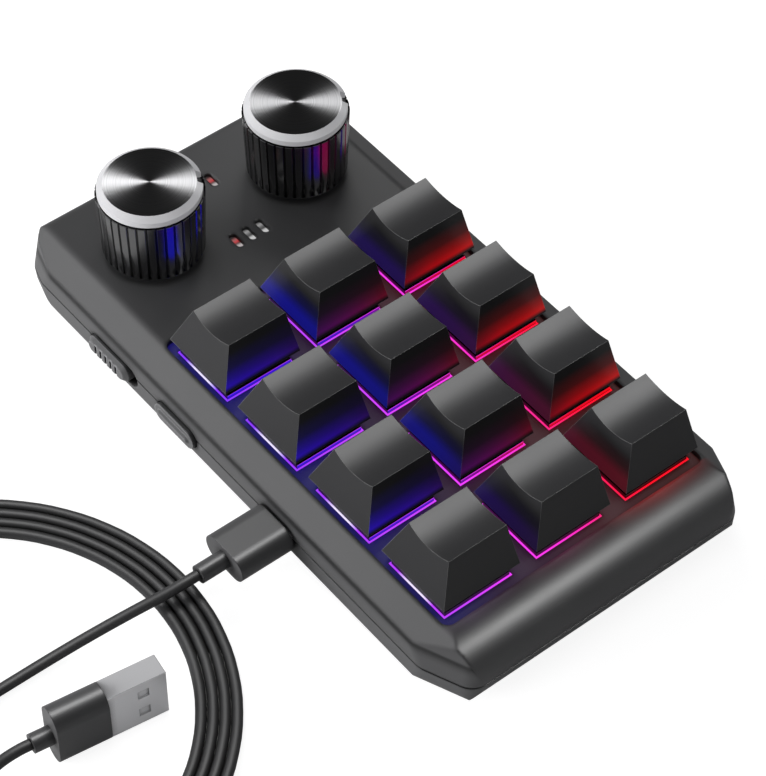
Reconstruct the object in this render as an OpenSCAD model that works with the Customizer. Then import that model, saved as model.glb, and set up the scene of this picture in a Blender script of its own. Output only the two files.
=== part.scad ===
// Desk macro keypad: twelve key switches, two knobs that turn and click down,
// a three-place mode slider and a side button, with its USB lead plugged in.
// Millimetres. X runs across the case, Y from the keys to the knobs, Z up from the table.
// The origin is on the table, under the middle of the case.

/* [Case] */
// Height of the top face above the table
top_z = 16.3; // [16:0.1:18]
// Height of the seam between the two shells
seam_z = 7.6; // [7:0.1:8]
// Height at which each side bevel starts
crease_z = 12.6; // [12:0.1:13.2]
// Width of each side bevel, seen from above
bevel_w = 5.4; // [5:0.1:7]
// Flat land between the key well and a bevel
land_w = 0.1; // [0.1:0.1:2]
// Flat land between the key well and the rounded front
front_land = 0.7; // [0.3:0.1:4]
// Length of the deck behind the key well, which carries the knobs
deck_len = 41.8; // [41:0.2:60]
// Thickness of the shell walls
wall = 2; // [1.6:0.1:2.2]
// Gap that shows along the seam
seam_gap = 0.3; // [0.1:0.05:0.5]
// Height of the lip that locates one shell in the other
lip_h = 1.3; // [0.8:0.1:1.6]
// Radius of the upper back edge
tail_r = 1.9; // [0.5:0.1:1.9]
// Radius along the bottom edges
base_r = 3; // [2.3:0.1:4]
// Front corner cut at the seam, across and along
front_cut = [4.4, 10.4];
// Back corner cut at the seam, across and along
back_cut = [2, 6.8];
// Lean of the corner cuts above the seam, in degrees
cut_lean = 12; // [0:1:14]
// Lean of the corner cuts below the seam, in degrees
low_lean = 5; // [0:1:8]
// Radius of the corners at the front and back edges, seen from above
corner_r = 4.2; // [3.4:0.1:4.5]
// Radius where a corner cut meets a side, seen from above
side_corner_r = 5; // [3.4:0.1:6]
// Radius where a bevel meets the top face
roof_r = 3; // [1:0.1:4]
// Radius where a bevel meets the wall
crease_r = 1.2; // [0.5:0.1:2]
// Radius along the bottom of the front corner cuts
cut_base_r = 4; // [3:0.1:4.5]

/* [Feet and screws] */
// Height of the rubber feet below the case
foot_h = 1; // [0.6:0.1:1.5]
// Length of a foot
foot_len = 16; // [10:1:24]
// Width of a foot
foot_w = 7; // [5:0.5:8]
// Distance between the left and the right feet
foot_span = 34; // [30:1:44]
// Distance of the feet from the front and back edges
foot_inset = 11.6; // [10:0.1:16]
// Depth of the pocket that holds a foot
foot_pocket = 0.5; // [0.3:0.1:0.8]
// Diameter of the screw shank
screw_d = 2; // [1.6:0.1:2.2]
// Diameter of the screw head
screw_head_d = 3.8; // [3:0.1:4]
// Height of the screw head
screw_head_h = 1.3; // [1:0.1:1.5]
// Length of the screw under its head
screw_len = 9.5; // [8.5:0.5:10.5]
// Outer diameter of the screw bosses
boss_d = 5.2; // [5:0.1:5.4]

/* [Key well] */
// Distance from one key to the next
key_pitch = 21.9; // [21:0.1:24]
// Depth of the well below the top face
well_depth = 1.2; // [0.8:0.1:1.4]
// Thickness of the well floor
well_floor = 1.5; // [1.2:0.1:1.8]
// Room beside the outer key caps
well_side_gap = 0.6; // [0.2:0.1:1]
// Room at the ends, past the outer key caps
well_end_gap = 1.65; // [0.5:0.05:3]
// Radius of the well's corners
well_r = 1.8; // [0.5:0.1:2]

/* [Key caps] */
// Width of a cap at its skirt
cap_base = 18; // [18:0.1:18.6]
// Height of a cap
cap_h = 8.6; // [8.5:0.1:10]
// Height left under the skirt when a key is down
cap_rest = 0.3; // [0.3:0.05:0.6]
// How far the long slope comes in at the top
cap_slope_left = 3.65; // [2.5:0.05:3.7]
// How far the steep side comes in at the top
cap_slope_right = 0.83; // [0.5:0.01:2]
// How far the other two sides come in at the top
cap_slope_ends = 3.34; // [2.5:0.01:3.6]
// Depth of the dish in the top
cap_dish = 0.9; // [0.3:0.1:1]
// Thickness of the cap walls
cap_wall = 0.85; // [0.7:0.05:0.9]
// Diameter of the post that takes the switch stem
cap_post_d = 5.6; // [5.4:0.1:5.7]

/* [Key switches] */
// How far a key goes down
key_travel = 3.4; // [2.5:0.1:3.4]
// Width of the switch flange
flange_w = 15.4; // [15:0.1:15.4]
// Height of the switch flange
flange_h = 1; // [0.8:0.1:1]
// Width of the switch body under the flange
body_w = 13.9; // [13.5:0.1:14]
// Depth of the switch body under the flange
body_depth = 5; // [4.8:0.1:5.2]
// Height of the upper housing above the well floor
housing_h = 6.6; // [6.4:0.1:6.6]
// Width of the upper housing at its foot
housing_foot = 14.8; // [14:0.1:14.8]
// Width of the upper housing at its top
housing_top = 9.8; // [9.8:0.1:10]
// Height of the stem cross above the housing
cross_h = 3.6; // [3.4:0.1:3.6]
// Length of the cross arms
cross_w = 4; // [3.9:0.05:4.1]
// Thickness of the cross arms
cross_t = 1.2; // [1.1:0.05:1.3]
// Width of the lit frame that shows round each switch
glow_w = 0.35; // [0.3:0.05:0.6]
// Thickness of the lit sheet
glow_sheet = 1; // [0.6:0.1:1.2]
// Wire diameter of a key spring
spring_wire = 0.3; // [0.25:0.01:0.34]
// Turns of a key spring
spring_turns = 5; // [4:1:8]

/* [Knobs] */
// Distance between the two knobs
knob_span = 36; // [34:0.5:40]
// Distance of the knobs from the back edge
knob_back = 20.2; // [18:0.1:22]
// Radius of a knob at the top of its grip
knob_r = 10.9; // [10.5:0.1:12]
// How much the grip narrows towards its foot
knob_taper = 0.5; // [0:0.1:1]
// Height of the grip
knob_grip_h = 15.5; // [14:0.5:20]
// Gap between the knob and the deck
knob_gap = 1.2; // [1:0.1:2]
// Number of grooves round the grip
knob_grooves = 36; // [24:1:48]
// Width of a groove
groove_w = 0.55; // [0.3:0.05:0.8]
// Depth of a groove
groove_d = 0.45; // [0.2:0.05:0.6]
// Radius of the metal cap
knob_cap_r = 10.5; // [10:0.1:11.5]
// Height of the cap's upright rim
knob_rim_h = 1.2; // [0.8:0.1:2]
// Width and height of the cap's polished chamfer
knob_chamfer = [1.3, 1];
// Width of the pointer notch in the cap's rim
notch_w = 3; // [1:0.1:4]
// Direction of the pointer notch, from +X
notch_angle = -27.6; // [-180:0.1:180]
// Diameter of the shaft
shaft_d = 6; // [5:0.1:6.2]
// How far a knob clicks down
knob_travel = 0.5; // [0.3:0.1:0.5]

/* [Side controls] */
// Centre of the mode slider, from the back edge
slider_back = 32.15; // [30:0.05:34]
// Centre of the side button, from the back edge
button_back = 53.2; // [52:0.1:56]
// Length of the slider's window
slider_window = 15.7; // [15:0.1:17]
// Height of the slider's window
slider_window_h = 4.7; // [4.4:0.1:4.7]
// How far the slider moves
slider_travel = 2; // [1.6:0.1:4]
// Length of the side button
button_len = 12.6; // [10:0.1:14]
// Height of the side button
button_h = 4.2; // [3.6:0.1:4.2]
// How far the side button moves
button_travel = 0.5; // [0.3:0.1:0.6]
// How far both controls stand proud of the case
control_proud = 1.5; // [1:0.1:1.5]
// Rounding of the outer edge of both controls
control_edge = 0.9; // [0.3:0.1:1.1]
// Grip ribs on the slider are cut by this many grooves
slider_grooves = 5; // [3:1:6]
// Distance between two grooves of the slider
slider_pitch = 1.7; // [1.4:0.1:1.9]
// Width and depth of a groove of the slider
slider_groove = 0.7; // [0.4:0.1:0.9]

/* [Circuit and battery] */
// Thickness of the circuit board
board_t = 1.6; // [1.2:0.1:1.6]
// Battery length
battery_len = 60; // [30:1:64]
// Battery width
battery_w = 34; // [20:1:34]
// Battery thickness
battery_t = 3.7; // [2.5:0.1:3.7]
// Distance of the indicator row in front of the knobs' axes
lamp_row = 8.25; // [8:0.05:10]
// Distance of the single indicator behind the knobs' axes
lamp_behind = 8.55; // [8:0.05:10]
// Length of an indicator slot
lamp_len = 4.1; // [3:0.1:5]
// Width of an indicator slot
lamp_w = 1.6; // [1.2:0.1:2]
// Distance between the three indicators in the row
lamp_pitch = 3.23; // [2.8:0.01:4]

/* [USB lead] */
// Diameter of the lead
lead_d = 2.2; // [2:0.1:2.4]
// Width of the small plug's grip
plug_w = 11.5; // [10.5:0.1:12]
// Thickness of the small plug's grip
plug_t = 6.2; // [5.6:0.1:6.6]
// Length of the small plug's grip
plug_len = 12; // [10:0.5:16]
// Length of the small plug's strain relief
relief_len = 6; // [4:0.5:8]
// Diameter of both strain reliefs
relief_d = 3.8; // [3.2:0.1:4]
// Width of the large plug's grip
big_plug_w = 13.8; // [13.6:0.1:16]
// Thickness of the large plug's grip
big_plug_t = 6.3; // [6:0.1:8]
// Length of the large plug's grip
big_plug_len = 10.5; // [10:0.5:20]
// Length of the large plug's bare metal shell
big_shell_len = 11.8; // [11:0.1:12.5]
// Smallest radius of the coiled lead, at its inner edge
coil_inner_r = 41.2; // [40:0.1:42]
// Largest radius of the coiled lead, at its outer edge
coil_outer_r = 51.6; // [51:0.1:53]

/* [Hidden] */
$fn = 64;
// shared clearances
fit = 0.05;
slide_gap = 0.1;
free_gap = 0.2;
skirt_gap = 0.15;
// how far a cutter runs past what it cuts
past = 1;
// Thickness of the thin slices that a leaning form is stretched between
slice = 0.01;
// heights, from the table up
base_z = foot_h;
plate_z = top_z - well_depth;
board_top = plate_z - body_depth;
board_z = board_top - board_t;
micro_h = 3.5;
side_z = board_z - micro_h / 2;
cap_gap = key_travel + cap_rest;
cap_z = plate_z + cap_gap;
knob_z = top_z + knob_gap;
// rows and columns of keys
columns = 3;
rows = 4;
grid_w = (columns - 1) * key_pitch;
grid_len = (rows - 1) * key_pitch;
well_w = grid_w + cap_base + 2 * well_side_gap;
well_len = grid_len + cap_base + 2 * well_end_gap;
// case outline
nose_r = top_z - seam_z;
low_nose_r = seam_z - base_z;
case_w = well_w + 2 * (land_w + bevel_w);
case_len = nose_r + front_land + well_len + deck_len;
side_x = case_w / 2;
back_y = case_len / 2;
grid_y = -back_y + nose_r + front_land + well_len / 2;
key_places = [for (r = [0 : rows - 1], c = [0 : columns - 1])
    [c * key_pitch - grid_w / 2, grid_y + grid_len / 2 - r * key_pitch]];
knob_y = back_y - knob_back;
slider_y = back_y - slider_back;
button_y = back_y - button_back;
// lit frames round the switches
glow_outer = flange_w + 2 * glow_w;
glow_opening = glow_outer + slide_gap;
sheet_w = glow_opening + 0.5;
// screws: four near the corners and two between the keys and the knobs
boss_inset = [7.2, 7.6];
front_boss_y = -back_y + boss_inset[1];
mid_boss_gap = 1.9;
mid_boss_y = grid_y + well_len / 2 + mid_boss_gap;
screw_places = [
    [-side_x + boss_inset[0], front_boss_y], [side_x - boss_inset[0], front_boss_y],
    [-key_pitch / 2, mid_boss_y], [key_pitch / 2, mid_boss_y],
    [-side_x + boss_inset[0], back_y - boss_inset[1]], [side_x - boss_inset[0], back_y - boss_inset[1]]];
head_sink = 0.3;
screw_end_gap = 0.5;
seat_z = base_z + screw_head_h + head_sink;
recess = [2.3, 0.6, 0.7];
foot_places = [for (x = [-1, 1], y = [-1, 1]) [x * foot_span / 2, y * (back_y - foot_inset)]];
// indicators: three in a row before the knobs and one behind them
lamp_off = -0.5;
single_lamp_off = 2.45;
lamp_places = [for (n = [-1 : 1]) [lamp_off + n * lamp_pitch, knob_y - lamp_row]];
all_lamps = concat(lamp_places, [[single_lamp_off, knob_y + lamp_behind]]);
lamp_sink = 0.9;
// switch parts, as heights from the well floor
roof_t = 0.9;
housing_wall = 1.15;
cavity_w = body_w - 2 * housing_wall;
cavity_floor = 1;
stem_w = 9;
stem_d = 6;
stem_top = housing_h - roof_t - slide_gap;
stem_foot = 1;
pocket_d = 4.6;
pocket_h = 2;
guide_d = 3.4;
guide_top = -1;
pin_d = 1.9;
pin_len = 6.2;
bore_d = pin_d + 2 * slide_gap;
peg_d = 4;
peg_len = 2.9;
bore_foot = 0.9;
spring_d = pocket_d - slide_gap;
stem_room = 0.3;
throat_play = 0.9;
throat = [cap_post_d + 2 * throat_play, stem_d + 2 * slide_gap];
cap_roof = 1.1;
post_gap = 0.3;
// knob and encoder parts
encoder_w = 12;
encoder_top = top_z - wall - free_gap;
encoder_floor = 0.5;
bushing_d = 7;
bushing_h = 2.6;
bushing_top = top_z + bushing_h;
knob_seam = 0.3;
seam_step = 0.7;
knob_edge_r = 1;
hub_r = 5;
hub_lift = 3;
hub_lead = 1;
rib_t = 1.2;
rim_wall = 2.4;
core_depth = 12;
cap_sink = 1.8;
spigot_r = knob_cap_r - knob_chamfer[0];
notch_depth_r = 1.2;
shaft_end_gap = 1;
shaft_top = knob_z + knob_grip_h - cap_sink - shaft_end_gap;
flat_cut = 1.5;
flat_z = knob_z + hub_lift + hub_lead;
plunger_z = board_top + encoder_floor + knob_travel + slide_gap;
plunger_t = 1;
plunger_d = 7;
collar_t = 0.6;
encoder_roof = plunger_z + plunger_t + collar_t + free_gap;
encoder_play = 0.5;
// side controls
control_gap = 0.2;
slider_len = slider_window - slider_travel - 2 * control_gap;
slider_h = slider_window_h - 2 * control_gap - 0.1;
groove_stop = 0.9;
button_step = 0.8;
button_rim = 0.9;
flange_t = 0.8;
flange_over = 1;
tongue = [1.6, 1.2];
tongue_reach = 1.5;
switch_gap = 0.5;
slide_switch = [10, 4];
push_switch = [6, 3.5];
push_pin = [1.5, 2];
notch_play = 0.4;
notch_margin = 3;
notch_depth = wall + skirt_gap + flange_t + button_travel + notch_play;
board_inset = wall + 1.2;
led = [3.5, 2.8, 0.8];
led_inset = 0.5;
battery_place = [2, grid_y - 2];
pouch_r = 0.8;
// USB socket and plugs
usb_shell = [8.94, 3.26];
usb_wall = 0.25;
usb_plug_shell = [8.34, 2.56];
usb_reach = 6.2;
socket_depth = usb_reach + 1.2;
socket_back = 0.6;
socket_sink = 0.4;
socket_tongue = [6.6, 0.7];
usb_z = board_z - usb_shell[1] / 2;
usb_y = grid_y;
plug_stand = 0.5;
big_shell = [12, 4.5];
shell_t = 0.3;
shell_hole = 2.2;
shell_hole_span = 5.2;
shell_hole_z = 6;
big_plug_tip = [-75.2, -31.7];
big_plug_turn = -8;
big_relief_len = 4;
// the coil and the two free ends of the lead, laid on the table
coil_centre = [-106, -12.2];
lead_r = lead_d / 2;
lead_lift = 0.05;
coil_edge_r = 0.9;
run_route = [
    [-55.6, -16.2, 6.9], [-58, -16.1, 6.8], [-62, -15.4, 5.8], [-69, -13.6, 3.8],
    [-77, -12.2, 2.3], [-86, -11.4, 1.4], [-96, -11.2, 1.15], [-106, -11.2, 1.15],
    [-115, -11.2, 1.15], [-124.3, -8.7, 1.15],
    [-131.4, -1.7, 1.15], [-134.2, 8.1, 1.15], [-131.8, 18.3, 1.15], [-123, 26.5, 1.15]];
tail_route = [
    [-128.9, -57.2, 1.5], [-134.1, -53.5, 3.1], [-136.8, -48.7, 3.5], [-137.8, -43.2, 3.5],
    [-136.8, -37.7, 3.4], [-133.1, -31.9, 2.2], [-127.3, -28.2, 1.3], [-120.5, -27.2, 1.5],
    [-112.5, -26.9, 3.5], [-107.5, -27.1, 5.7], [-103.5, -27.7, 6.8], [-101.35, -28.03, 6.9]];
root_nodes = ["top_case", "bottom_case", "light_plate", "switch_lower_housings",
    "switch_upper_housings", "key_springs", "circuit_board", "key_leds", "indicator_guides",
    "left_encoder_body", "right_encoder_body", "mode_switch_body", "button_switch_body",
    "usb_socket", "battery", "case_screws", "rubber_feet"];
lead_nodes = ["usb_c_plug", "usb_c_shell", "lead_run", "lead_coil", "lead_tail",
    "usb_a_plug", "usb_a_shell"];
key_nodes = concat([for (n = [1 : rows * columns]) str("keycap_", n)],
    [for (n = [1 : rows * columns]) str("stem_", n)]);
knob_nodes = ["left_plunger", "right_plunger", "left_shaft", "right_shaft",
    "left_knob", "right_knob", "left_knob_cap", "right_knob_cap"];
control_nodes = ["mode_slider", "side_button"];

// ---------- outlines and small helpers ----------

function unit(v) = v / norm(v);

// Points along an arc
function arc(centre, r, from, to, steps = 12) =
    [for (i = [0 : steps]) let (a = from + (to - from) * i / steps) centre + r * [cos(a), sin(a)]];

// The corner at b of the path a, b, c, rounded to radius r
function rounded_corner(a, b, c, r, steps = 6) =
    let (u = unit(a - b), v = unit(c - b), half = acos(u * v) / 2,
        centre = b + unit(u + v) * r / sin(half),
        p = b + u * r / tan(half) - centre, q = b + v * r / tan(half) - centre,
        from = atan2(p[1], p[0]), turn = atan2(q[1], q[0]) - from,
        sweep = turn > 180 ? turn - 360 : turn < -180 ? turn + 360 : turn)
    arc(centre, r, from, from + sweep, steps);

// A closed path with each corner rounded, by one radius or a list of them
function rounded_path(path, r) =
    let (n = len(path))
    [for (i = [0 : n - 1],
            p = rounded_corner(path[(i + n - 1) % n], path[i], path[(i + 1) % n], is_list(r) ? r[i] : r)) p];

// A corner cut moved towards the middle of the case
function moved_in(cut, by) = cut * (1 + by * norm(cut) / (cut[0] * cut[1]));

// The case seen from above, drawn in by an inset, its corner cuts moved in further
function plan_path(inset, cut_in = 0) =
    let (x = side_x - inset, y = back_y - inset, end = corner_r - inset, side = side_corner_r - inset,
        front = moved_in(front_cut, cut_in), back = moved_in(back_cut, cut_in))
    rounded_path([[x - front[0], -y], [x, -y + front[1]], [x, y - back[1]], [x - back[0], y],
        [back[0] - x, y], [-x, y - back[1]], [-x, -y + front[1]], [front[0] - x, -y]],
        [end, side, side, end, end, side, side, end]);

// Upper shell seen from the end: walls, bevels and roof
function upper_end(t) =
    let (slope = atan2(top_z - crease_z, bevel_w), x = side_x - t,
        z = crease_z - t * tan((90 - slope) / 2),
        roof_x = side_x - bevel_w - t * tan(slope / 2), roof_z = top_z - t)
    rounded_path([[-x, seam_z], [x, seam_z], [x, z], [roof_x, roof_z], [-roof_x, roof_z], [-x, z]],
        [0, 0, crease_r, roof_r, roof_r, crease_r]);

// Upper shell seen from the side: rounded nose and softened tail
function upper_side(t) =
    concat([[back_y - t, seam_z]],
        t < tail_r ? arc([back_y - tail_r, top_z - tail_r], tail_r - t, 0, 90, 6)
            : [[back_y - t, top_z - t]],
        arc([-back_y + nose_r, seam_z], nose_r - t, 90, 180, 24));

// Lower shell seen from the end
function lower_end(t) =
    let (x = side_x - base_r, z = base_z + base_r)
    concat([[side_x - t, seam_z + lip_h], [t - side_x, seam_z + lip_h]],
        arc([-x, z], base_r - t, 180, 270, 6), arc([x, z], base_r - t, 270, 360, 6));

// Lower shell seen from the side
function lower_side(t) =
    concat([[back_y - t, seam_z + lip_h], [t - back_y, seam_z + lip_h]],
        arc([-back_y + low_nose_r, seam_z], low_nose_r - t, 180, 270, 18),
        arc([back_y - base_r, base_z + base_r], base_r - t, 270, 360, 6));

module plan_slab(inset, z, h)
    translate([0, 0, z]) linear_extrude(h) polygon(plan_path(inset));

// The case between two heights, with its corner cuts moved in by so much at each
module leaning_slab(inset, low, low_in, high, high_in)
    hull() {
        translate([0, 0, low]) linear_extrude(slice) polygon(plan_path(inset, low_in));
        translate([0, 0, high - slice]) linear_extrude(slice) polygon(plan_path(inset, high_in));
    }

module across(points)
    rotate([90, 0, 90]) linear_extrude(2 * case_w, center = true) polygon(points);

module along(points)
    rotate([90, 0, 0]) linear_extrude(2 * case_len, center = true) polygon(points);

// A block with two round ends, lying along X
module pill(length, width, h)
    linear_extrude(h) {
        square([length - width, width], center = true);
        for (side = [-1, 1]) translate([side * (length - width) / 2, 0]) circle(d = width);
    }

// The same pill with its outer edge cut back
module soft_pill(length, width, h, edge)
    hull()
        for (side = [-1, 1])
            translate([side * (length - width) / 2, 0, 0]) {
                cylinder(d = width, h = h - edge, $fn = 32);
                cylinder(d = width - 2 * edge, h = h, $fn = 32);
            }

module box(size) translate([0, 0, size[2] / 2]) cube(size, center = true);

// Draws its children on the left wall: local Z points out of the case, local X towards the front
module on_left_wall(y, z) translate([-side_x, y, z]) rotate([90, 0, -90]) children();

module at_each(places) for (p = places) translate([p[0], p[1], 0]) children();

// ---------- case ----------

module upper_form(t)
    intersection() {
        leaning_slab(t, seam_z, 0, top_z, (top_z - seam_z) * tan(cut_lean));
        along(upper_end(t));
        across(upper_side(t));
    }

module lower_form(t)
    difference() {
        intersection() {
            union() {
                leaning_slab(t, base_z, (seam_z - base_z) * tan(low_lean), seam_z, 0);
                plan_slab(t, seam_z, lip_h);
            }
            along(lower_end(t));
            across(lower_side(t));
        }
        // rounds the bottom edge of each corner cut
        at_corner_cuts(t) rotate([0, low_lean, 0]) translate([0, 0, base_z - seam_z]) rotate([90, 0, 0])
            linear_extrude(2 * case_len, center = true) difference() {
                translate([t - cut_base_r, -past]) square(cut_base_r + past);
                translate([-cut_base_r, cut_base_r]) circle(r = cut_base_r - t);
            }
    }

// Draws its children at the four corner cuts, at the seam: local X points out of the case
module at_corner_cuts(t)
    for (side = [0, 1], end = [0, 1])
        let (cut = end == 0 ? back_cut : front_cut)
            mirror([side, 0, 0]) mirror([0, end, 0]) translate([side_x - t, back_y - t - cut[1], seam_z])
                rotate([0, 0, atan2(cut[0], cut[1])]) children();

module well_block(z, h, extra)
    translate([0, grid_y, z]) linear_extrude(h)
        let (x = well_w / 2 + extra, y = well_len / 2 + extra)
            polygon(rounded_path([[x, -y], [x, y], [-x, y], [-x, -y]], well_r));

// Openings in the left wall for the slider, the button and the USB socket
module wall_windows() {
    on_left_wall(slider_y, side_z) through_wall() pill(slider_window, slider_window_h, wall + 2 * past);
    on_left_wall(button_y, side_z) through_wall()
        pill(button_len + 2 * control_gap, button_h + 2 * control_gap, wall + 2 * past);
    on_left_wall(usb_y, usb_z) through_wall()
        pill(usb_shell[0] + 2 * free_gap, usb_shell[1] + 2 * free_gap, wall + 2 * past);
}

module through_wall() translate([0, 0, -wall - past]) children();

module top_case()
    color("dimgray") difference() {
        union() {
            difference() {
                upper_form(0);
                difference() {
                    upper_form(wall);
                    well_block(plate_z - well_floor, top_z, wall);
                }
            }
            at_each(screw_places) translate([0, 0, board_top])
                cylinder(d = boss_d, h = top_z - wall - board_top);
        }
        // seam gap, and the rebate that takes the lower shell's lip
        translate([0, 0, seam_z - past]) linear_extrude(past + seam_gap / 2)
            square(2 * case_len, center = true);
        plan_slab(wall / 2, seam_z - past, past + lip_h + slide_gap);
        well_block(plate_z, top_z, 0);
        at_each(key_places) translate([0, 0, plate_z - well_floor - past])
            box([glow_opening, glow_opening, well_floor + 2 * past]);
        for (side = [-1, 1])
            translate([side * knob_span / 2, knob_y, board_top])
                cylinder(d = bushing_d + 2 * skirt_gap, h = top_z);
        at_each(all_lamps) translate([0, 0, board_top]) rotate([0, 0, 90]) pill(lamp_len, lamp_w, top_z);
        at_each(screw_places) cylinder(d = screw_d + 2 * fit, h = seat_z + screw_len + screw_end_gap);
        wall_windows();
    }

module bottom_case()
    color("gray") difference() {
        union() {
            difference() {
                lower_form(0);
                translate([0, 0, seam_z - seam_gap / 2]) around_lip();
                lower_form(wall);
            }
            at_each(screw_places) translate([0, 0, base_z + wall / 2])
                cylinder(d = boss_d, h = board_z - base_z - wall / 2);
        }
        at_each(screw_places) {
            cylinder(d = screw_d + 4 * fit, h = top_z);
            cylinder(d = screw_head_d + 2 * free_gap, h = seat_z);
        }
        at_each(foot_places) pill(foot_len + 2 * fit, foot_w + 2 * fit, base_z + foot_pocket);
        wall_windows();
    }

// What is cut away outside the lip
module around_lip()
    difference() {
        linear_extrude(2 * lip_h) square(2 * case_len, center = true);
        plan_slab(wall / 2 + slide_gap, -past, 2 * lip_h + 2 * past);
    }

module case_screws()
    color("silver") at_each(screw_places) translate([0, 0, seat_z]) {
        cylinder(d = screw_d, h = screw_len);
        difference() {
            translate([0, 0, -screw_head_h]) cylinder(d = screw_head_d, h = screw_head_h);
            for (turn = [0, 90])
                rotate([0, 0, turn]) translate([0, 0, -screw_head_h - past])
                    box([recess[0], recess[1], recess[2] + past]);
        }
    }

module rubber_feet()
    color("black") at_each(foot_places) pill(foot_len, foot_w, base_z + foot_pocket);

// ---------- lit sheet and key switches ----------

module light_plate()
    color("violet") difference() {
        union() {
            translate([0, grid_y, plate_z - well_floor - glow_sheet])
                box([grid_w + sheet_w, grid_len + sheet_w, glow_sheet]);
            at_each(key_places) translate([0, 0, plate_z - well_floor - glow_sheet / 2])
                box([glow_outer, glow_outer, well_floor + glow_sheet / 2]);
        }
        at_each(key_places) translate([0, 0, board_top]) box([body_w + slide_gap, body_w + slide_gap, top_z]);
    }

module switch_lower_housings()
    color("darkslategray") at_each(key_places) translate([0, 0, plate_z]) difference() {
        union() {
            box([flange_w, flange_w, flange_h]);
            translate([0, 0, -body_depth]) box([body_w, body_w, body_depth + flange_h / 2]);
            translate([0, 0, -body_depth - peg_len]) cylinder(d = peg_d, h = peg_len + past);
        }
        difference() {
            translate([0, 0, cavity_floor - body_depth]) box([cavity_w, cavity_w, body_depth + flange_h]);
            translate([0, 0, -body_depth]) cylinder(d = guide_d, h = body_depth + guide_top);
        }
        translate([0, 0, -body_depth - peg_len + bore_foot]) cylinder(d = bore_d, h = body_depth + peg_len);
    }

module tapered_block(foot, top, h)
    intersection() {
        for_taper(foot, top, h);
        rotate([0, 0, 90]) for_taper(foot, top, h);
    }

module for_taper(foot, top, h)
    rotate([90, 0, 0]) linear_extrude(2 * foot, center = true)
        polygon([[-foot / 2, 0], [foot / 2, 0], [top / 2, h], [-top / 2, h]]);

module switch_upper_housings()
    color("slategray") at_each(key_places) translate([0, 0, plate_z + flange_h]) difference() {
        tapered_block(housing_foot, housing_top, housing_h - flange_h);
        translate([0, 0, -past])
            box([stem_w + 2 * stem_room, stem_w + 2 * stem_room, housing_h - flange_h - roof_t + past]);
        box([throat[0], throat[1], housing_h]);
    }

module stem(place)
    color("tomato") translate([place[0], place[1], plate_z]) {
        difference() {
            translate([0, 0, stem_foot]) box([stem_w, stem_d, stem_top - stem_foot]);
            cylinder(d = pocket_d, h = stem_foot + pocket_h);
        }
        translate([0, 0, stem_foot + pocket_h - pin_len]) cylinder(d = pin_d, h = pin_len + past / 2);
        for (turn = [0, 90])
            rotate([0, 0, turn]) translate([0, 0, stem_top - past / 2])
                box([cross_w, cross_t, housing_h + cross_h - stem_top + past / 2]);
    }

// One coil spring, as a square wire swept round a helix
module helix(r, wire, h, turns, steps = 8) {
    count = turns * steps;
    corners = [[-1, -1], [1, -1], [1, 1], [-1, 1]] * wire / 2;
    points = [for (i = [0 : count], c = corners)
        let (a = 360 * i / steps, z = wire / 2 + (h - wire) * i / count)
            [(r + c[0]) * cos(a), (r + c[0]) * sin(a), z + c[1]]];
    sides = [for (i = [0 : count - 1], k = [0 : 3])
        let (a = 4 * i + k, b = 4 * i + (k + 1) % 4) each [[a, b, b + 4], [a, b + 4, a + 4]]];
    polyhedron(points, concat([[3, 2, 1, 0]], sides, [[for (k = [0 : 3]) 4 * count + k]]));
}

module key_springs()
    color("gold") at_each(key_places) translate([0, 0, plate_z - body_depth + cavity_floor])
        helix((spring_d - spring_wire) / 2, spring_wire, body_depth - cavity_floor + stem_foot + pocket_h,
            spring_turns);

// ---------- key caps ----------

// The four sloping sides of a cap, drawn in by an inset
module cap_form(inset, h) {
    half = cap_base / 2 - inset;
    intersection() {
        rotate([90, 0, 0]) linear_extrude(2 * cap_base, center = true)
            polygon([[-half, 0], [half, 0], [half - cap_slope_right * h / cap_h, h],
                [-half + cap_slope_left * h / cap_h, h]]);
        rotate([90, 0, 90]) linear_extrude(2 * cap_base, center = true)
            polygon([[-half, 0], [half, 0], [half - cap_slope_ends * h / cap_h, h],
                [-half + cap_slope_ends * h / cap_h, h]]);
    }
}

module keycap(place) {
    half_top = cap_base / 2 - cap_slope_ends;
    dish_r = (half_top * half_top + cap_dish * cap_dish) / (2 * cap_dish);
    ceiling = cap_h - cap_dish - cap_roof;
    post_foot = housing_h + post_gap - cap_gap;
    color("black") translate([place[0], place[1], cap_z]) difference() {
        union() {
            difference() {
                cap_form(0, cap_h);
                translate([0, 0, -slide_gap]) cap_form(cap_wall, ceiling + slide_gap);
            }
            translate([0, 0, post_foot]) cylinder(d = cap_post_d, h = ceiling - post_foot + slide_gap);
        }
        translate([0, 0, cap_h - cap_dish + dish_r]) rotate([0, 90, 0])
            cylinder(r = dish_r, h = 2 * cap_base, center = true, $fn = 96);
        for (turn = [0, 90])
            rotate([0, 0, turn]) translate([0, 0, post_foot - past])
                box([cross_w + fit, cross_t + fit, cross_h - post_gap + past + slide_gap]);
    }
}

// ---------- knobs and encoders ----------

module encoder_body(side)
    color("silver") translate([side * knob_span / 2, knob_y, 0]) difference() {
        union() {
            translate([0, 0, board_top]) box([encoder_w, encoder_w, encoder_top - board_top]);
            translate([0, 0, board_top + past]) cylinder(d = bushing_d, h = bushing_top - board_top - past);
        }
        translate([0, 0, board_top + encoder_floor])
            cylinder(d = plunger_d + 2 * encoder_play, h = encoder_roof - board_top - encoder_floor);
        translate([0, 0, board_top + past]) cylinder(d = shaft_d + 2 * fit, h = top_z);
    }

module plunger(side)
    color("beige") translate([side * knob_span / 2, knob_y, plunger_z])
        cylinder(d = plunger_d, h = plunger_t);

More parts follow.
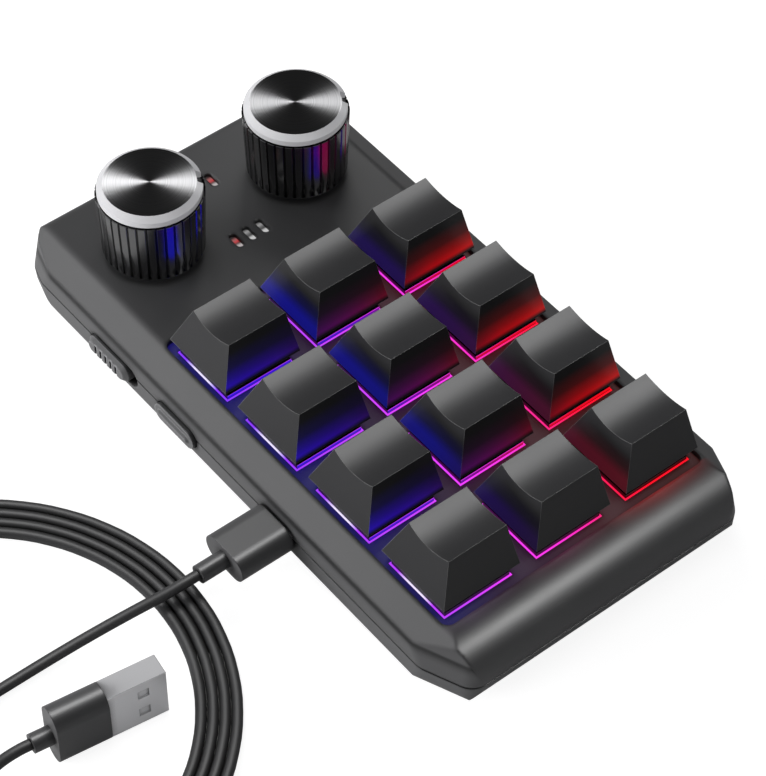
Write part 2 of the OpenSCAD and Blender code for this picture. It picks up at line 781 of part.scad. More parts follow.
module shaft(side)
    color("lightgray") translate([side * knob_span / 2, knob_y, 0]) {
        translate([0, 0, plunger_z + plunger_t]) cylinder(d = plunger_d, h = collar_t);
        difference() {
            translate([0, 0, plunger_z + plunger_t])
                cylinder(d = shaft_d, h = shaft_top - plunger_z - plunger_t);
            translate([shaft_d / 2 - flat_cut, -shaft_d, flat_z]) cube([shaft_d, 2 * shaft_d, knob_grip_h]);
        }
    }

module knob(side) {
    top = knob_z + knob_grip_h;
    foot_r = knob_r - knob_taper;
    color("black") translate([side * knob_span / 2, knob_y, 0]) difference() {
        rotate_extrude($fn = 96)
            polygon(concat([[0, knob_z]],
                arc([foot_r - knob_edge_r, knob_z + knob_edge_r], knob_edge_r, -90, 0, 4),
                [[knob_r, top], [knob_r - seam_step, top], [knob_r - seam_step, top + knob_seam],
                    [0, top + knob_seam]]));
        // grooves round the grip
        for (n = [0 : knob_grooves - 1])
            rotate([0, 0, 360 * n / knob_grooves]) groove_cutter();
        // hollow between the rim and the hub, crossed by ribs
        difference() {
            translate([0, 0, knob_z - past]) cylinder(r = foot_r - rim_wall, h = core_depth + past);
            translate([0, 0, knob_z + hub_lift]) cylinder(r = hub_r, h = core_depth);
            for (turn = [0 : 60 : 120])
                rotate([0, 0, turn]) translate([0, 0, knob_z + hub_lift + hub_lead])
                    box([2 * knob_r, rib_t, core_depth]);
        }
        // the bore that takes the flatted shaft, and the seat for the cap's spigot
        difference() {
            cylinder(d = shaft_d + 2 * fit, h = shaft_top + shaft_end_gap / 2);
            translate([shaft_d / 2 - flat_cut + fit, -shaft_d, flat_z + free_gap])
                cube([shaft_d, 2 * shaft_d, knob_grip_h]);
        }
        translate([0, 0, top + knob_seam - cap_sink]) cylinder(r = spigot_r + fit, h = cap_sink + past);
    }
}

// One V-shaped groove, cut along the slope of the grip
module groove_cutter()
    translate([knob_r - knob_taper, 0, knob_z + knob_edge_r])
        rotate([0, atan2(knob_taper, knob_grip_h - knob_edge_r), 0]) linear_extrude(2 * knob_grip_h)
            polygon([[-groove_d, 0], [groove_d, -groove_w], [groove_d, groove_w]]);

module knob_cap(side) {
    foot = knob_z + knob_grip_h + knob_seam;
    top = foot + knob_rim_h + knob_chamfer[1];
    color("silver") translate([side * knob_span / 2, knob_y, 0]) difference() {
        rotate_extrude($fn = 96)
            polygon([[0, foot - cap_sink], [spigot_r, foot - cap_sink], [spigot_r, foot],
                [knob_cap_r, foot], [knob_cap_r, foot + knob_rim_h], [spigot_r, top], [0, top]]);
        rotate([0, 0, notch_angle]) translate([knob_cap_r, 0, foot - cap_sink / 2])
            box([2 * notch_depth_r, notch_w, 4 * knob_rim_h + cap_sink]);
    }
}

// ---------- side controls ----------

module mode_slider()
    color("gray") on_left_wall(slider_y, side_z) translate([-slider_travel / 2, 0, 0]) {
        inner = wall + skirt_gap;
        translate([0, 0, -inner - slide_gap]) pill(slider_len, slider_h, inner + 2 * slide_gap);
        difference() {
            soft_pill(slider_len, slider_h, control_proud, control_edge);
            // the grooves stop short of the upper edge
            for (n = [0 : slider_grooves - 1])
                translate([(n - (slider_grooves - 1) / 2) * slider_pitch, -groove_stop,
                    control_proud - slider_groove])
                    box([slider_groove, slider_h, slider_groove + past]);
        }
        translate([0, 0, -inner - flange_t])
            box([slider_len + 2 * flange_over, slider_window_h + flange_over, flange_t]);
        translate([0, 0, -inner - flange_t - switch_gap - tongue_reach])
            box([tongue[0], tongue[1], switch_gap + tongue_reach + slide_gap]);
    }

module side_button()
    color("gray") on_left_wall(button_y, side_z) {
        inner = wall + skirt_gap;
        translate([0, 0, -inner - slide_gap]) pill(button_len, button_h, inner + slide_gap);
        translate([0, 0, -slide_gap]) pill(button_len, button_h, button_rim + slide_gap);
        soft_pill(button_len - 2 * button_step, button_h - 2 * button_step, control_proud, control_edge);
        translate([0, 0, -inner - flange_t])
            box([button_len + 2 * flange_over, button_h + 2 * flange_over, flange_t]);
        translate([0, 0, -inner - flange_t - switch_gap - push_pin[1]])
            cylinder(d = push_pin[0], h = switch_gap + push_pin[1] + slide_gap);
    }

module mode_switch_body()
    color("silver") on_left_wall(slider_y, board_z - micro_h) {
        front = wall + skirt_gap + flange_t + switch_gap;
        difference() {
            translate([0, micro_h / 2, -front - slide_switch[1]])
                box([slide_switch[0], micro_h, slide_switch[1]]);
            translate([0, micro_h / 2, -front - tongue_reach - 3 * slide_gap])
                box([tongue[0] + slider_travel + 6 * slide_gap, tongue[1] + 4 * slide_gap,
                    tongue_reach + past]);
        }
    }

module button_switch_body()
    color("dimgray") on_left_wall(button_y, board_z - micro_h) {
        front = wall + skirt_gap + flange_t + switch_gap + button_travel;
        difference() {
            translate([0, micro_h / 2, -front - push_switch[1]])
                box([push_switch[0], micro_h, push_switch[1]]);
            translate([0, micro_h / 2, -front - push_pin[1] - free_gap])
                cylinder(d = push_pin[0] + 2 * free_gap, h = push_pin[1] + past);
        }
    }

// ---------- circuit board and what it carries ----------

module circuit_board()
    color("darkgreen") difference() {
        plan_slab(board_inset, board_z, board_t);
        at_each(screw_places) cylinder(d = screw_d + 4 * fit, h = top_z);
        at_each(key_places) cylinder(d = peg_d + 2 * slide_gap, h = top_z);
        for (y = [slider_y, button_y])
            translate([-side_x, y, board_z - past])
                box([2 * notch_depth, slider_len + slider_travel + 2 * notch_margin, board_t + 2 * past]);
    }

module key_leds()
    color("white") at_each(key_places) translate([0, led_inset - body_w / 2, board_z - led[2]]) box(led);

module indicator_guides()
    color("white") at_each(all_lamps) translate([0, 0, board_top]) rotate([0, 0, 90])
        pill(lamp_len - 2 * fit, lamp_w - 2 * fit, top_z - lamp_sink - board_top);

module battery()
    color("lightgray") translate([battery_place[0], battery_place[1], base_z + wall]) rotate([0, 0, 90])
        translate([0, 0, battery_t / 2]) rotate([90, 0, 0])
            linear_extrude(battery_w, center = true)
                polygon(rounded_path([[-battery_len / 2, -battery_t / 2], [battery_len / 2, -battery_t / 2],
                    [battery_len / 2, battery_t / 2], [-battery_len / 2, battery_t / 2]], pouch_r));

module usb_socket()
    color("silver") on_left_wall(usb_y, usb_z) {
        difference() {
            translate([0, 0, -socket_depth - socket_sink]) pill(usb_shell[0], usb_shell[1], socket_depth);
            translate([0, 0, -socket_depth + socket_back])
                pill(usb_shell[0] - 2 * usb_wall, usb_shell[1] - 2 * usb_wall, socket_depth + past);
        }
        translate([0, 0, -socket_depth + socket_back - slide_gap])
            box([socket_tongue[0], socket_tongue[1], socket_depth - 2 * past - free_gap]);
    }

// ---------- USB lead ----------

module usb_c_plug()
    color("dimgray") on_left_wall(usb_y, usb_z) {
        translate([0, 0, plug_stand]) pill(plug_w, plug_t, plug_len);
        translate([0, 0, plug_stand + plug_len - past]) cylinder(d = relief_d, h = relief_len + past);
    }

module usb_c_shell()
    color("silver") on_left_wall(usb_y, usb_z) translate([0, 0, plug_stand - usb_reach]) difference() {
        pill(usb_plug_shell[0], usb_plug_shell[1], usb_reach);
        translate([0, 0, -past])
            pill(usb_plug_shell[0] - 2 * usb_wall, usb_plug_shell[1] - 2 * usb_wall, usb_reach - socket_back);
    }

// Draws its children along the large plug: local Z points out of its open end
module on_big_plug(back)
    translate([big_plug_tip[0], big_plug_tip[1], big_plug_w / 2]) rotate([0, 0, big_plug_turn])
        translate([-back, 0, 0]) rotate([90, 0, 90]) rotate([0, 0, 90]) children();

module usb_a_plug()
    color("dimgray") on_big_plug(big_shell_len + big_plug_len) {
        pill(big_plug_w, big_plug_t, big_plug_len);
        translate([0, 0, -big_relief_len]) cylinder(d = relief_d, h = big_relief_len + past);
    }

module usb_a_shell()
    color("silver") on_big_plug(big_shell_len) difference() {
        box([big_shell[0], big_shell[1], big_shell_len]);
        translate([0, big_shell[1] / 4 - shell_t / 2, past])
            box([big_shell[0] - 2 * shell_t, big_shell[1] / 2 - shell_t, big_shell_len]);
        for (side = [-1, 1])
            translate([side * shell_hole_span / 2, -big_shell[1] / 2, shell_hole_z])
                box([shell_hole, 2 * shell_t, shell_hole]);
    }

// Points of a smooth curve through the route, with steps pieces between each two of its points
function between(p, i, t) =
    let (n = len(p), a = p[max(i - 1, 0)], b = p[i], c = p[i + 1], d = p[min(i + 2, n - 1)])
    0.5 * (2 * b + (c - a) * t + (2 * a - 5 * b + 4 * c - d) * t * t + (3 * b - a - 3 * c + d) * t * t * t);

function smooth_route(p, steps) =
    concat([for (i = [0 : len(p) - 2], s = [0 : steps - 1]) between(p, i, s / steps)], [p[len(p) - 1]]);

// A round lead swept along a route, with flat ends
module lead(route, sides = 8) {
    path = smooth_route(route, 2);
    last = len(path) - 1;
    points = [for (i = [0 : last])
        let (t = unit(path[min(i + 1, last)] - path[max(i - 1, 0)]), across = unit(cross([0, 0, 1], t)),
            up = cross(t, across))
        for (k = [0 : sides - 1], a = 360 * k / sides) path[i] + lead_r * (cos(a) * across + sin(a) * up)];
    faces = [for (i = [0 : last - 1], k = [0 : sides - 1])
        let (a = sides * i + k, b = sides * i + (k + 1) % sides)
        each [[a, a + sides, b + sides], [a, b + sides, b]]];
    color("black") polyhedron(points, concat([[for (k = [0 : sides - 1]) k]], faces,
        [[for (k = [sides - 1 : -1 : 0]) sides * last + k]]));
}

module lead_coil()
    color("black") translate([coil_centre[0], coil_centre[1], lead_lift]) rotate_extrude($fn = 96)
        polygon(rounded_path([[coil_inner_r, 0], [coil_outer_r, 0], [coil_outer_r, lead_d],
            [coil_inner_r, lead_d]], coil_edge_r));

// ---------- nodes ----------

top_case();
bottom_case();
light_plate();
switch_lower_housings();
switch_upper_housings();
key_springs();
circuit_board();
key_leds();
indicator_guides();
encoder_body(-1);  // left_encoder_body
encoder_body(1);  // right_encoder_body
mode_switch_body();
button_switch_body();
usb_socket();
battery();
case_screws();
rubber_feet();
usb_c_plug();
usb_c_shell();
lead(run_route);  // lead_run
lead_coil();
lead(tail_route);  // lead_tail
usb_a_plug();
usb_a_shell();
for (n = [1 : rows * columns]) {
    keycap(key_places[n - 1]);
    stem(key_places[n - 1]);
}
plunger(-1);  // left_plunger
plunger(1);  // right_plunger
shaft(-1);  // left_shaft
shaft(1);  // right_shaft
knob(-1);  // left_knob
knob(1);  // right_knob
knob_cap(-1);  // left_knob_cap
knob_cap(1);  // right_knob_cap
mode_slider();
side_button();
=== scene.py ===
# %% [markdown]
# # A desk macro keypad, dressed for the studio
# The keypad comes from CAD as separate parts in one fixed frame, in metres.
# This lesson gives each part the finish of the real one. It makes three parts again, because their small
# forms show or have to move by themselves: the lead, the key springs and the large plug's shell.
# The keypad's own sizes are in millimetres here, and MM turns them to metres. The studio is in metres.
# It starts with what everything else leans on: the frame, and its box, which the finished model must keep.

# %% Load the frame
import math
import bpy
from mathutils import Matrix, Vector


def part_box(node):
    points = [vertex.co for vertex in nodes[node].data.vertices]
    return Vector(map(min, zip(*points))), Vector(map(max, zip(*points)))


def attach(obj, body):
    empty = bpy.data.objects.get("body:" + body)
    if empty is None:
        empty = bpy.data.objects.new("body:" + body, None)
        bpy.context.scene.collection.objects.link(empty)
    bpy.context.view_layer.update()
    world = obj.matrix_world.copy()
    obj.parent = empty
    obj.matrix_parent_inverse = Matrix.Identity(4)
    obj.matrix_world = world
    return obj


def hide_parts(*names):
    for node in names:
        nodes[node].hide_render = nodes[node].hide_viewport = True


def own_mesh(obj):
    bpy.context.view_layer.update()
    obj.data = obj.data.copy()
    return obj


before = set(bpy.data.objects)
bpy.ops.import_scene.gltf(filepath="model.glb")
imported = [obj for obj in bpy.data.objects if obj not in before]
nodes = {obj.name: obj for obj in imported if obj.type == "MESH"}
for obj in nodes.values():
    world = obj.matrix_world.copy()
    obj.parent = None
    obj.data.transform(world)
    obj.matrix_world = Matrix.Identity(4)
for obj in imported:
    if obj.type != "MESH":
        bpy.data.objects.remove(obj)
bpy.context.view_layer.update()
MM = 0.001

# %% [markdown]
# The camera stands as a product photographer's would: half above the keypad and off its front left corner.
# A long lens keeps the long edges nearly parallel. A short one close by would swell the front row of keys.
# The camera could be dragged into place by hand. Two angles, a distance and a small shift do the same here,
# because each of them can be corrected without losing the others.

# %% Camera
AZIMUTH, ELEVATION, ROLL = (math.radians(angle) for angle in (-38.881, 49.564, 0.341))
LENS_MM, SENSOR_MM = 139.86, 36
SHIFT_RIGHT, SHIFT_UP, DISTANCE = -8.969 * MM, 2.648 * MM, 578.06 * MM
LOOK_AT = Vector((0, -16.2, 16.0)) * MM
NEAREST_SEEN = 0.01

back = Vector((
    math.sin(AZIMUTH) * math.cos(ELEVATION),
    -math.cos(AZIMUTH) * math.cos(ELEVATION),
    math.sin(ELEVATION)))
right = Vector((0, 0, 1)).cross(back).normalized()
up = back.cross(right)
axes = Matrix((right, up, back)).transposed() @ Matrix.Rotation(ROLL, 3, "Z")
eye = LOOK_AT + axes @ Vector((SHIFT_RIGHT, SHIFT_UP, DISTANCE))
camera = bpy.data.objects.new("camera", bpy.data.cameras.new("camera"))
bpy.context.scene.collection.objects.link(camera)
camera.data.lens = LENS_MM
camera.data.sensor_width = SENSOR_MM
camera.data.clip_start = NEAREST_SEEN
camera.matrix_world = Matrix.Translation(eye) @ axes.to_4x4()
bpy.context.scene.camera = camera
print("camera at", [round(c, 3) for c in camera.matrix_world.translation])

# %% [markdown]
# The lead is one length of soft round cable. It leaves the small plug, comes down to the table, goes
# round in a flat coil and ends in the large plug, which stands inside the coil.
# The free stretches are drawn by a few points each, as one would lay them by hand, and follow the CAD
# route.
# The coil is worked out by a loop, because its turns lie side by side, each wider than the last by one
# cable.

# %% Route of the lead
LEAD_D = 2.2
ON_TABLE = 1.15
RUN = [
    (-55.6, -16.2, 6.9), (-58, -16.1, 6.8), (-62, -15.4, 5.8), (-69, -13.6, 3.8), (-77, -12.2, 2.3),
    (-86, -11.4, 1.4), (-96, -11.2, ON_TABLE), (-106, -11.2, ON_TABLE), (-115, -11.2, ON_TABLE),
    (-124.3, -8.7, ON_TABLE), (-131.4, -1.7, ON_TABLE), (-134.2, 8.1, ON_TABLE),
    (-131.8, 18.3, ON_TABLE), (-123, 26.5, ON_TABLE)]
TAIL = [
    (-128.9, -57.2, 1.5), (-134.1, -53.5, 3.1), (-136.8, -48.7, 3.5), (-137.8, -43.2, 3.5),
    (-136.8, -37.7, 3.4), (-133.1, -31.9, 2.2), (-127.3, -28.2, 1.3), (-120.5, -27.2, 1.5),
    (-112.5, -26.9, 3.5), (-107.5, -27.1, 5.7), (-103.5, -27.7, 6.8), (-101.35, -28.03, 6.9)]
COIL_CENTRE = (-106, -12.2)
COIL_START, COIL_END = 113.7, -1197.0
COIL_R, COIL_PITCH = 42.35, 2.205
FULL_TURN, POINTS_A_TURN = 360, 36


def coil_points():
    """The turns of the coil, side by side on the table, from the inside outwards."""
    count = round((COIL_START - COIL_END) / FULL_TURN * POINTS_A_TURN)
    points = []
    for i in range(1, count):
        angle = COIL_START + (COIL_END - COIL_START) * i / count
        r = COIL_R + COIL_PITCH * (COIL_START - angle) / FULL_TURN
        a = math.radians(angle)
        points.append((COIL_CENTRE[0] + r * math.cos(a), COIL_CENTRE[1] + r * math.sin(a), ON_TABLE))
    return points


route = [Vector(p) * MM for p in RUN + coil_points() + TAIL]
length = sum((b - a).length for a, b in zip(route, route[1:]))
print("points", len(route), "length m", round(length, 3))

# %% [markdown]
# A cable has the same round section all along. It could be built as a mesh, ring by ring.
# A curve with a round bevel is the same in one object: it stays smooth between its points, and its
# length and thickness can be measured at any time.
# Each point's radius multiplies the bevel and also counts in the curve's box. So the radius is the cable's
# own, and the bevel is 1.

# %% Lead
ROUNDNESS, STEPS_BETWEEN_POINTS = 8, 3


def round_cable(name, points, diameter):
    """A smooth cable through the points, as one open spline."""
    data = bpy.data.curves.new(name, "CURVE")
    data.dimensions = "3D"
    data.bevel_depth = 1.0
    data.bevel_resolution = ROUNDNESS
    data.resolution_u = STEPS_BETWEEN_POINTS
    data.use_fill_caps = True
    spline = data.splines.new("BEZIER")
    spline.bezier_points.add(len(points) - 1)
    for bezier, point in zip(spline.bezier_points, points):
        bezier.co = point
        bezier.radius = diameter / 2
        bezier.handle_left_type = bezier.handle_right_type = "AUTO"
    cable = bpy.data.objects.new(name, data)
    bpy.context.scene.collection.objects.link(cable)
    return cable


lead = round_cable("usb_lead", route, LEAD_D * MM)
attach(lead, "root")
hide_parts("lead_run", "lead_coil", "lead_tail")
print("lead swept, splines", len(lead.data.splines))

# %% [markdown]
# The CAD parts arrive as loose triangles, which no operator can follow from one to the next.
# Where a part has to be changed, a copy is joined at its corners first, and the copy takes the part's
# place.
# The part itself stays as it came, because the frame checks it at the end.

# %% Joined copies
SAME_PLACE = 0.001 * MM


def joined_copy(part, name):
    """A copy of a CAD part with its triangles joined, and nothing else changed."""
    bpy.ops.object.select_all(action="DESELECT")
    copy = nodes[part].copy()
    copy.data = nodes[part].data.copy()
    copy.name = name
    bpy.context.scene.collection.objects.link(copy)
    bpy.context.view_layer.objects.active = copy
    copy.select_set(True)
    bpy.ops.object.mode_set(mode="EDIT")
    bpy.ops.mesh.select_all(action="SELECT")
    bpy.ops.mesh.remove_doubles(threshold=SAME_PLACE)
    bpy.ops.object.mode_set(mode="OBJECT")
    return copy


def middle_of(corners):
    """The middle of a box, from all its corners or from two opposite ones."""
    return sum((Vector(corner) for corner in corners), Vector()) / len(corners)


print("ready to join")

# %% [markdown]
# Under each key a spring of drawn wire is squeezed as the key goes down. The CAD holds all twelve as one
# part, which can't follow twelve keys.
# They could be wound again as twelve screws. Separating the joined copy into its loose pieces keeps the
# CAD's own wire. Each spring takes the number of the key whose stem stands nearest.

# %% Key springs
KEYS = range(1, 13)
joined_copy("key_springs", "key_spring")
bpy.ops.mesh.separate(type="LOOSE")
springs = list(bpy.context.selected_objects)
for spring in springs:
    middle = middle_of(spring.bound_box)
    key = min(KEYS, key=lambda n: (middle_of(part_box(f"stem_{n}")) - middle).xy.length)
    spring.name = f"key_spring_{key}"
    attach(spring, "root")
    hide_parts("key_springs")
    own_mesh(spring)
print("springs", sorted(spring.name for spring in springs))

# %% [markdown]
# The large plug's metal shell is a strip of steel folded round a plastic tongue, with two square windows
# for the socket's springs.
# The windows could be cut again on the side that shows. The shell is the same upside down but for them, so
# the joined copy is simply turned half round on its own axis.
# With it the lead is complete.

# %% Large plug's shell
BIG_PLUG_TURN = math.radians(-8)
big_shell = joined_copy("usb_a_shell", "big_plug_shell")
middle = middle_of(big_shell.bound_box)
along = Vector((math.cos(BIG_PLUG_TURN), math.sin(BIG_PLUG_TURN), 0))
half_turn = Matrix.Rotation(math.pi, 4, along)
big_shell.data.transform(Matrix.Translation(middle) @ half_turn @ Matrix.Translation(-middle))
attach(big_shell, "root")
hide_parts("usb_a_shell")

# %% [markdown]
# All materials need a few helpers. One turns a colour as a painter would pick it into the linear light that
# Blender works in. One adds a node with its settings and links, so that a whole material reads as a list of
# what feeds what. The others start a material and put it on pieces.

# %% Colour and node helpers
def linear(hex_colour):
    """An sRGB hex colour as linear RGBA. The numbers are those of the sRGB standard."""
    channels = [int(hex_colour[i:i + 2], 16) / 255 for i in (0, 2, 4)]
    return [c / 12.92 if c <= 0.04045 else ((c + 0.055) / 1.055) ** 2.4 for c in channels] + [1.0]


def node(tree, kind, settings=None, **inputs):
    """Adds one shader node: its settings, then its inputs, each a value or the socket that feeds it.

    An input goes by its name, or by its number as i0, i1 and so on.
    The setting "stops" lists the places and colours of a colour ramp.
    """
    made = tree.nodes.new(kind)
    for key, value in (settings or {}).items():
        if key == "stops":
            ramp = made.color_ramp.elements
            for place, colour in value[1:-1]:
                ramp.new(place)
            for element, (place, colour) in zip(ramp, value):
                element.position = place
                element.color = linear(colour)
        else:
            setattr(made, key, value)
    for key, value in inputs.items():
        by_number = key[0] == "i" and key[1:].isdigit()
        socket = made.inputs[int(key[1:]) if by_number else key.replace("_", " ")]
        if isinstance(value, bpy.types.NodeSocket):
            tree.links.new(value, socket)
        else:
            socket.default_value = value
    return made


def new_material(name):
    """An empty material and its node tree."""
    material = bpy.data.materials.new(name)
    material.use_nodes = True
    material.node_tree.nodes.clear()
    return material, material.node_tree


def dress(pieces, material):
    """Gives pieces a finish. A CAD part goes by its name, and a piece made here is itself."""
    for piece in pieces:
        data = (nodes[piece] if isinstance(piece, str) else piece).data
        data.materials.clear()
        data.materials.append(material)


print("white", linear("ffffff"))

# %% [markdown]
# The table is a sheet of white paper. Lit like any paper it would come out grey in places, so most of
# what the camera sees is a glow of its own, and a weaker matte part under it takes the object's soft
# shadow.
# Matte pieces and reflections meet plain paper instead, because the glow would shine on the object from
# below.

# %% Table
TABLE_SIZE, TABLE_DROP = 6, 0.00005
PAPER_GLOW = 0.88
bpy.ops.mesh.primitive_plane_add(size=TABLE_SIZE, location=(0, 0, -TABLE_DROP))
table = bpy.context.object
table.name = "table"
paper, tree = new_material("white_paper")
path = node(tree, "ShaderNodeLightPath")
plain = node(tree, "ShaderNodeBsdfDiffuse", Color=linear("f4f4f4"))
glow = node(tree, "ShaderNodeEmission", Color=linear("ffffff"), Strength=PAPER_GLOW)
weak = node(tree, "ShaderNodeBsdfDiffuse", Color=linear("989898"))
bright = node(tree, "ShaderNodeAddShader", i0=weak.outputs[0], i1=glow.outputs[0])
mirrored = node(tree, "ShaderNodeBsdfDiffuse", Color=linear("d0d0d0"))
seen = node(tree, "ShaderNodeMixShader", i0=path.outputs["Is Camera Ray"], i1=plain.outputs[0],
            i2=bright.outputs[0])
mix = node(tree, "ShaderNodeMixShader", i0=path.outputs["Is Glossy Ray"], i1=seen.outputs[0],
           i2=mirrored.outputs[0])
node(tree, "ShaderNodeOutputMaterial", Surface=mix.outputs[0])
dress([table], paper)
print("table", table.name)

# %% [markdown]
# The room is white to the camera, and a soft grey for matte surfaces.
# One white background would do for a matte object. In reflections, though, a white room washes satin
# plastic and turned metal out. There it is nearly black, and what they are to mirror comes from the cards
# further down.

# %% Room
ROOM_ON_MATTE, ROOM_IN_SHINE = 0.25, 0.012
world = bpy.data.worlds.new("studio")
bpy.context.scene.world = world
world.use_nodes = True
tree = world.node_tree
tree.nodes.clear()
path = node(tree, "ShaderNodeLightPath")
seen = node(tree, "ShaderNodeMath", {"operation": "MAXIMUM"},
            i0=path.outputs["Is Camera Ray"], i1=path.outputs["Is Transmission Ray"])
dim = node(tree, "ShaderNodeBackground", Color=linear("fcfcff"), Strength=ROOM_ON_MATTE)
dark = node(tree, "ShaderNodeBackground", Color=linear("ffffff"), Strength=ROOM_IN_SHINE)
white = node(tree, "ShaderNodeBackground", Color=linear("ffffff"), Strength=1.0)
room = node(tree, "ShaderNodeMixShader", i0=path.outputs["Is Glossy Ray"], i1=dim.outputs[0],
            i2=dark.outputs[0])
mix = node(tree, "ShaderNodeMixShader", i0=seen.outputs[0], i1=room.outputs[0], i2=white.outputs[0])
node(tree, "ShaderNodeOutputWorld", Surface=mix.outputs[0])
bpy.context.scene.view_settings.view_transform = "Standard"
print("room", world.name)

# %% [markdown]
# Three soft boxes light the whole object, as in a small product studio: a strong one low on the left, which
# brightens the side walls and the bevel, one behind the keypad and a weak one overhead.
# A sun would be one lamp instead of three, but its small highlights and hard shadows look like the
# outdoors.
# These three light matte surfaces only. A band of light on a shiny surface has to lie where the form turns,
# and one big lamp can't be right for all of them.

# %% Soft boxes
def soft_box(name, place, size, watts, aim=(0, 0, 0), colour="ffffff", only=None, matte=False):
    """A rectangular lamp at a place in metres, turned towards aim and hidden from the camera.

    Without only, it lights every matte surface. With only, it reaches those parts alone, by light linking:
    it shows in their reflections, or, when matte is set, on their matte surfaces.
    """
    data = bpy.data.lights.new(name, "AREA")
    data.shape = "RECTANGLE"
    data.size, data.size_y = size
    data.energy = watts
    data.color = linear(colour)[:3]
    lamp = bpy.data.objects.new(name, data)
    bpy.context.scene.collection.objects.link(lamp)
    lamp.location = place
    lamp.rotation_euler = (Vector(aim) - Vector(place)).to_track_quat("-Z", "Y").to_euler()
    lamp.visible_camera = False
    lamp.visible_diffuse = only is None or matte
    lamp.visible_glossy = only is not None and not matte
    if only:
        reached = bpy.data.collections.new(name + "_lights")
        for part in only:
            reached.objects.link(part)
        lamp.light_linking.receiver_collection = reached


soft_box("left_box", place=(-0.70, 0.42, 0.16), size=(0.9, 0.28), watts=14.5)
soft_box("back_box", place=(0.10, 0.80, 0.62), size=(0.6, 0.5), watts=4.0)
soft_box("top_box", place=(-0.10, 0.0, 1.0), size=(0.6, 0.6), watts=1.5)

# %% [markdown]
# The other lamps are the small ones and the cards that a product photographer sets for one surface each: a
# strip for the rounded front edge, a card for the cap tops, a pair for the wedges of light on the knob
# tops.
# Two more don't show in reflections. They lift the matte side of the caps and of the bright chamfer round
# the knob tops.

# %% Cards for single surfaces
caps = [nodes[f"keycap_{n}"] for n in KEYS]
knob_tops = [nodes["left_knob_cap"], nodes["right_knob_cap"]]
shells = [nodes["top_case"], nodes["bottom_case"]]
cable = [lead, nodes["usb_c_plug"], nodes["usb_a_plug"]]
plug_shells = [big_shell, nodes["usb_c_shell"]]
NOSE, DECK = (0, -0.063, 0.014), (0.03, 0.045, 0.016)
soft_box("cap_fill", place=(0.10, 0.35, 1.0), size=(0.5, 0.5), watts=5.0, only=caps, matte=True)
soft_box("nose_strip", place=(0.075, -0.165, 0.205), size=(0.05, 0.06), watts=0.62, aim=NOSE, only=shells)
soft_box("bevel_card", place=(-0.60, 0.55, 0.72), size=(0.4, 0.4), watts=3.2, only=shells)
soft_box("deck_card", place=(0.079, 0.105, 0.110), size=(0.05, 0.06), watts=0.028, aim=DECK, only=shells)
soft_box("cap_card", place=(0.42, 0.0, 0.95), size=(0.6, 0.8), watts=15.0, only=caps)
soft_box("cable_strip", place=(0.10, 0.15, 1.0), size=(0.8, 0.25), watts=20.0, only=cable)
soft_box("shell_card", place=(-0.1, -0.9, 0.35), size=(1.2, 0.8), watts=8.0, only=plug_shells)
soft_box("wedge_back", place=(0.02, 0.95, 0.60), size=(0.36, 0.45), watts=4.0, only=knob_tops)
soft_box("wedge_right", place=(0.95, 0.20, 0.60), size=(0.36, 0.45), watts=4.0, only=knob_tops)
soft_box("chamfer_fill", place=(-0.10, -0.60, 0.60), size=(0.4, 0.4), watts=5.0, only=knob_tops, matte=True)

# %% [markdown]
# The glossy grips mirror the lit keys in front of them as soft streaks: blue on the left knob, violet and
# crimson on the right one. The real streaks come from many small reflections. Three tiny coloured lamps
# between the knobs and the first row give the same, in the right places and without noise.

# %% Streaks on the grips
grips = [nodes["left_knob"], nodes["right_knob"]]
STREAK_Y, STREAK_Z, STREAK_HIGH = 30.0, 19.0, 8.0
GRIP_FRONT_Y, GRIP_MIDDLE_Z = 39.0, 27.0
for name, x, aim_x, width, watts, colour in (
        ("grip_blue", -20.0, -20.5, 8.0, 0.0003, "1414ff"),
        ("grip_violet", 15.0, 15.5, 6.0, 0.00015, "3010d0"),
        ("grip_crimson", 20.5, 20.0, 6.0, 0.0002, "c00060")):
    soft_box(name, place=Vector((x, STREAK_Y, STREAK_Z)) * MM, size=(width * MM, STREAK_HIGH * MM),
             watts=watts, aim=Vector((aim_x, GRIP_FRONT_Y, GRIP_MIDDLE_Z)) * MM, colour=colour, only=grips)

# %% [markdown]
# The case, the caps and the controls are moulded ABS, the plugs and the lead are soft PVC, the switches are
# nylon. All are moulded plastic: an even colour under a fine grain from the mould, and painted shade in
# crevices.
# A painted picture of the grain would need every part unwrapped. Noise in the part's own coordinates needs
# nothing, and its grain is set in millimetres.
# The edges of a moulding are a little rounded. On some parts a thin painted line runs along them: a painted
# highlight on the caps and the controls, painted shade on the large plug's shell. The Bevel node finds the
# edges: where its normal leans away from the true one, the edge colour is mixed in.

# %% Moulded plastic
CLOUD_MM, CLOUD_TONE, CLOUD_SHEEN = 16.667, 0.06, 0.04
CREVICE_SHADE_MM, CREVICE_SHADE_POWER = 1.6, 1.5
GRAIN_STRENGTH, RAY_SAMPLES = 0.5, 6
LEAN_STARTS, LEAN_FULL = 0.985, 0.93


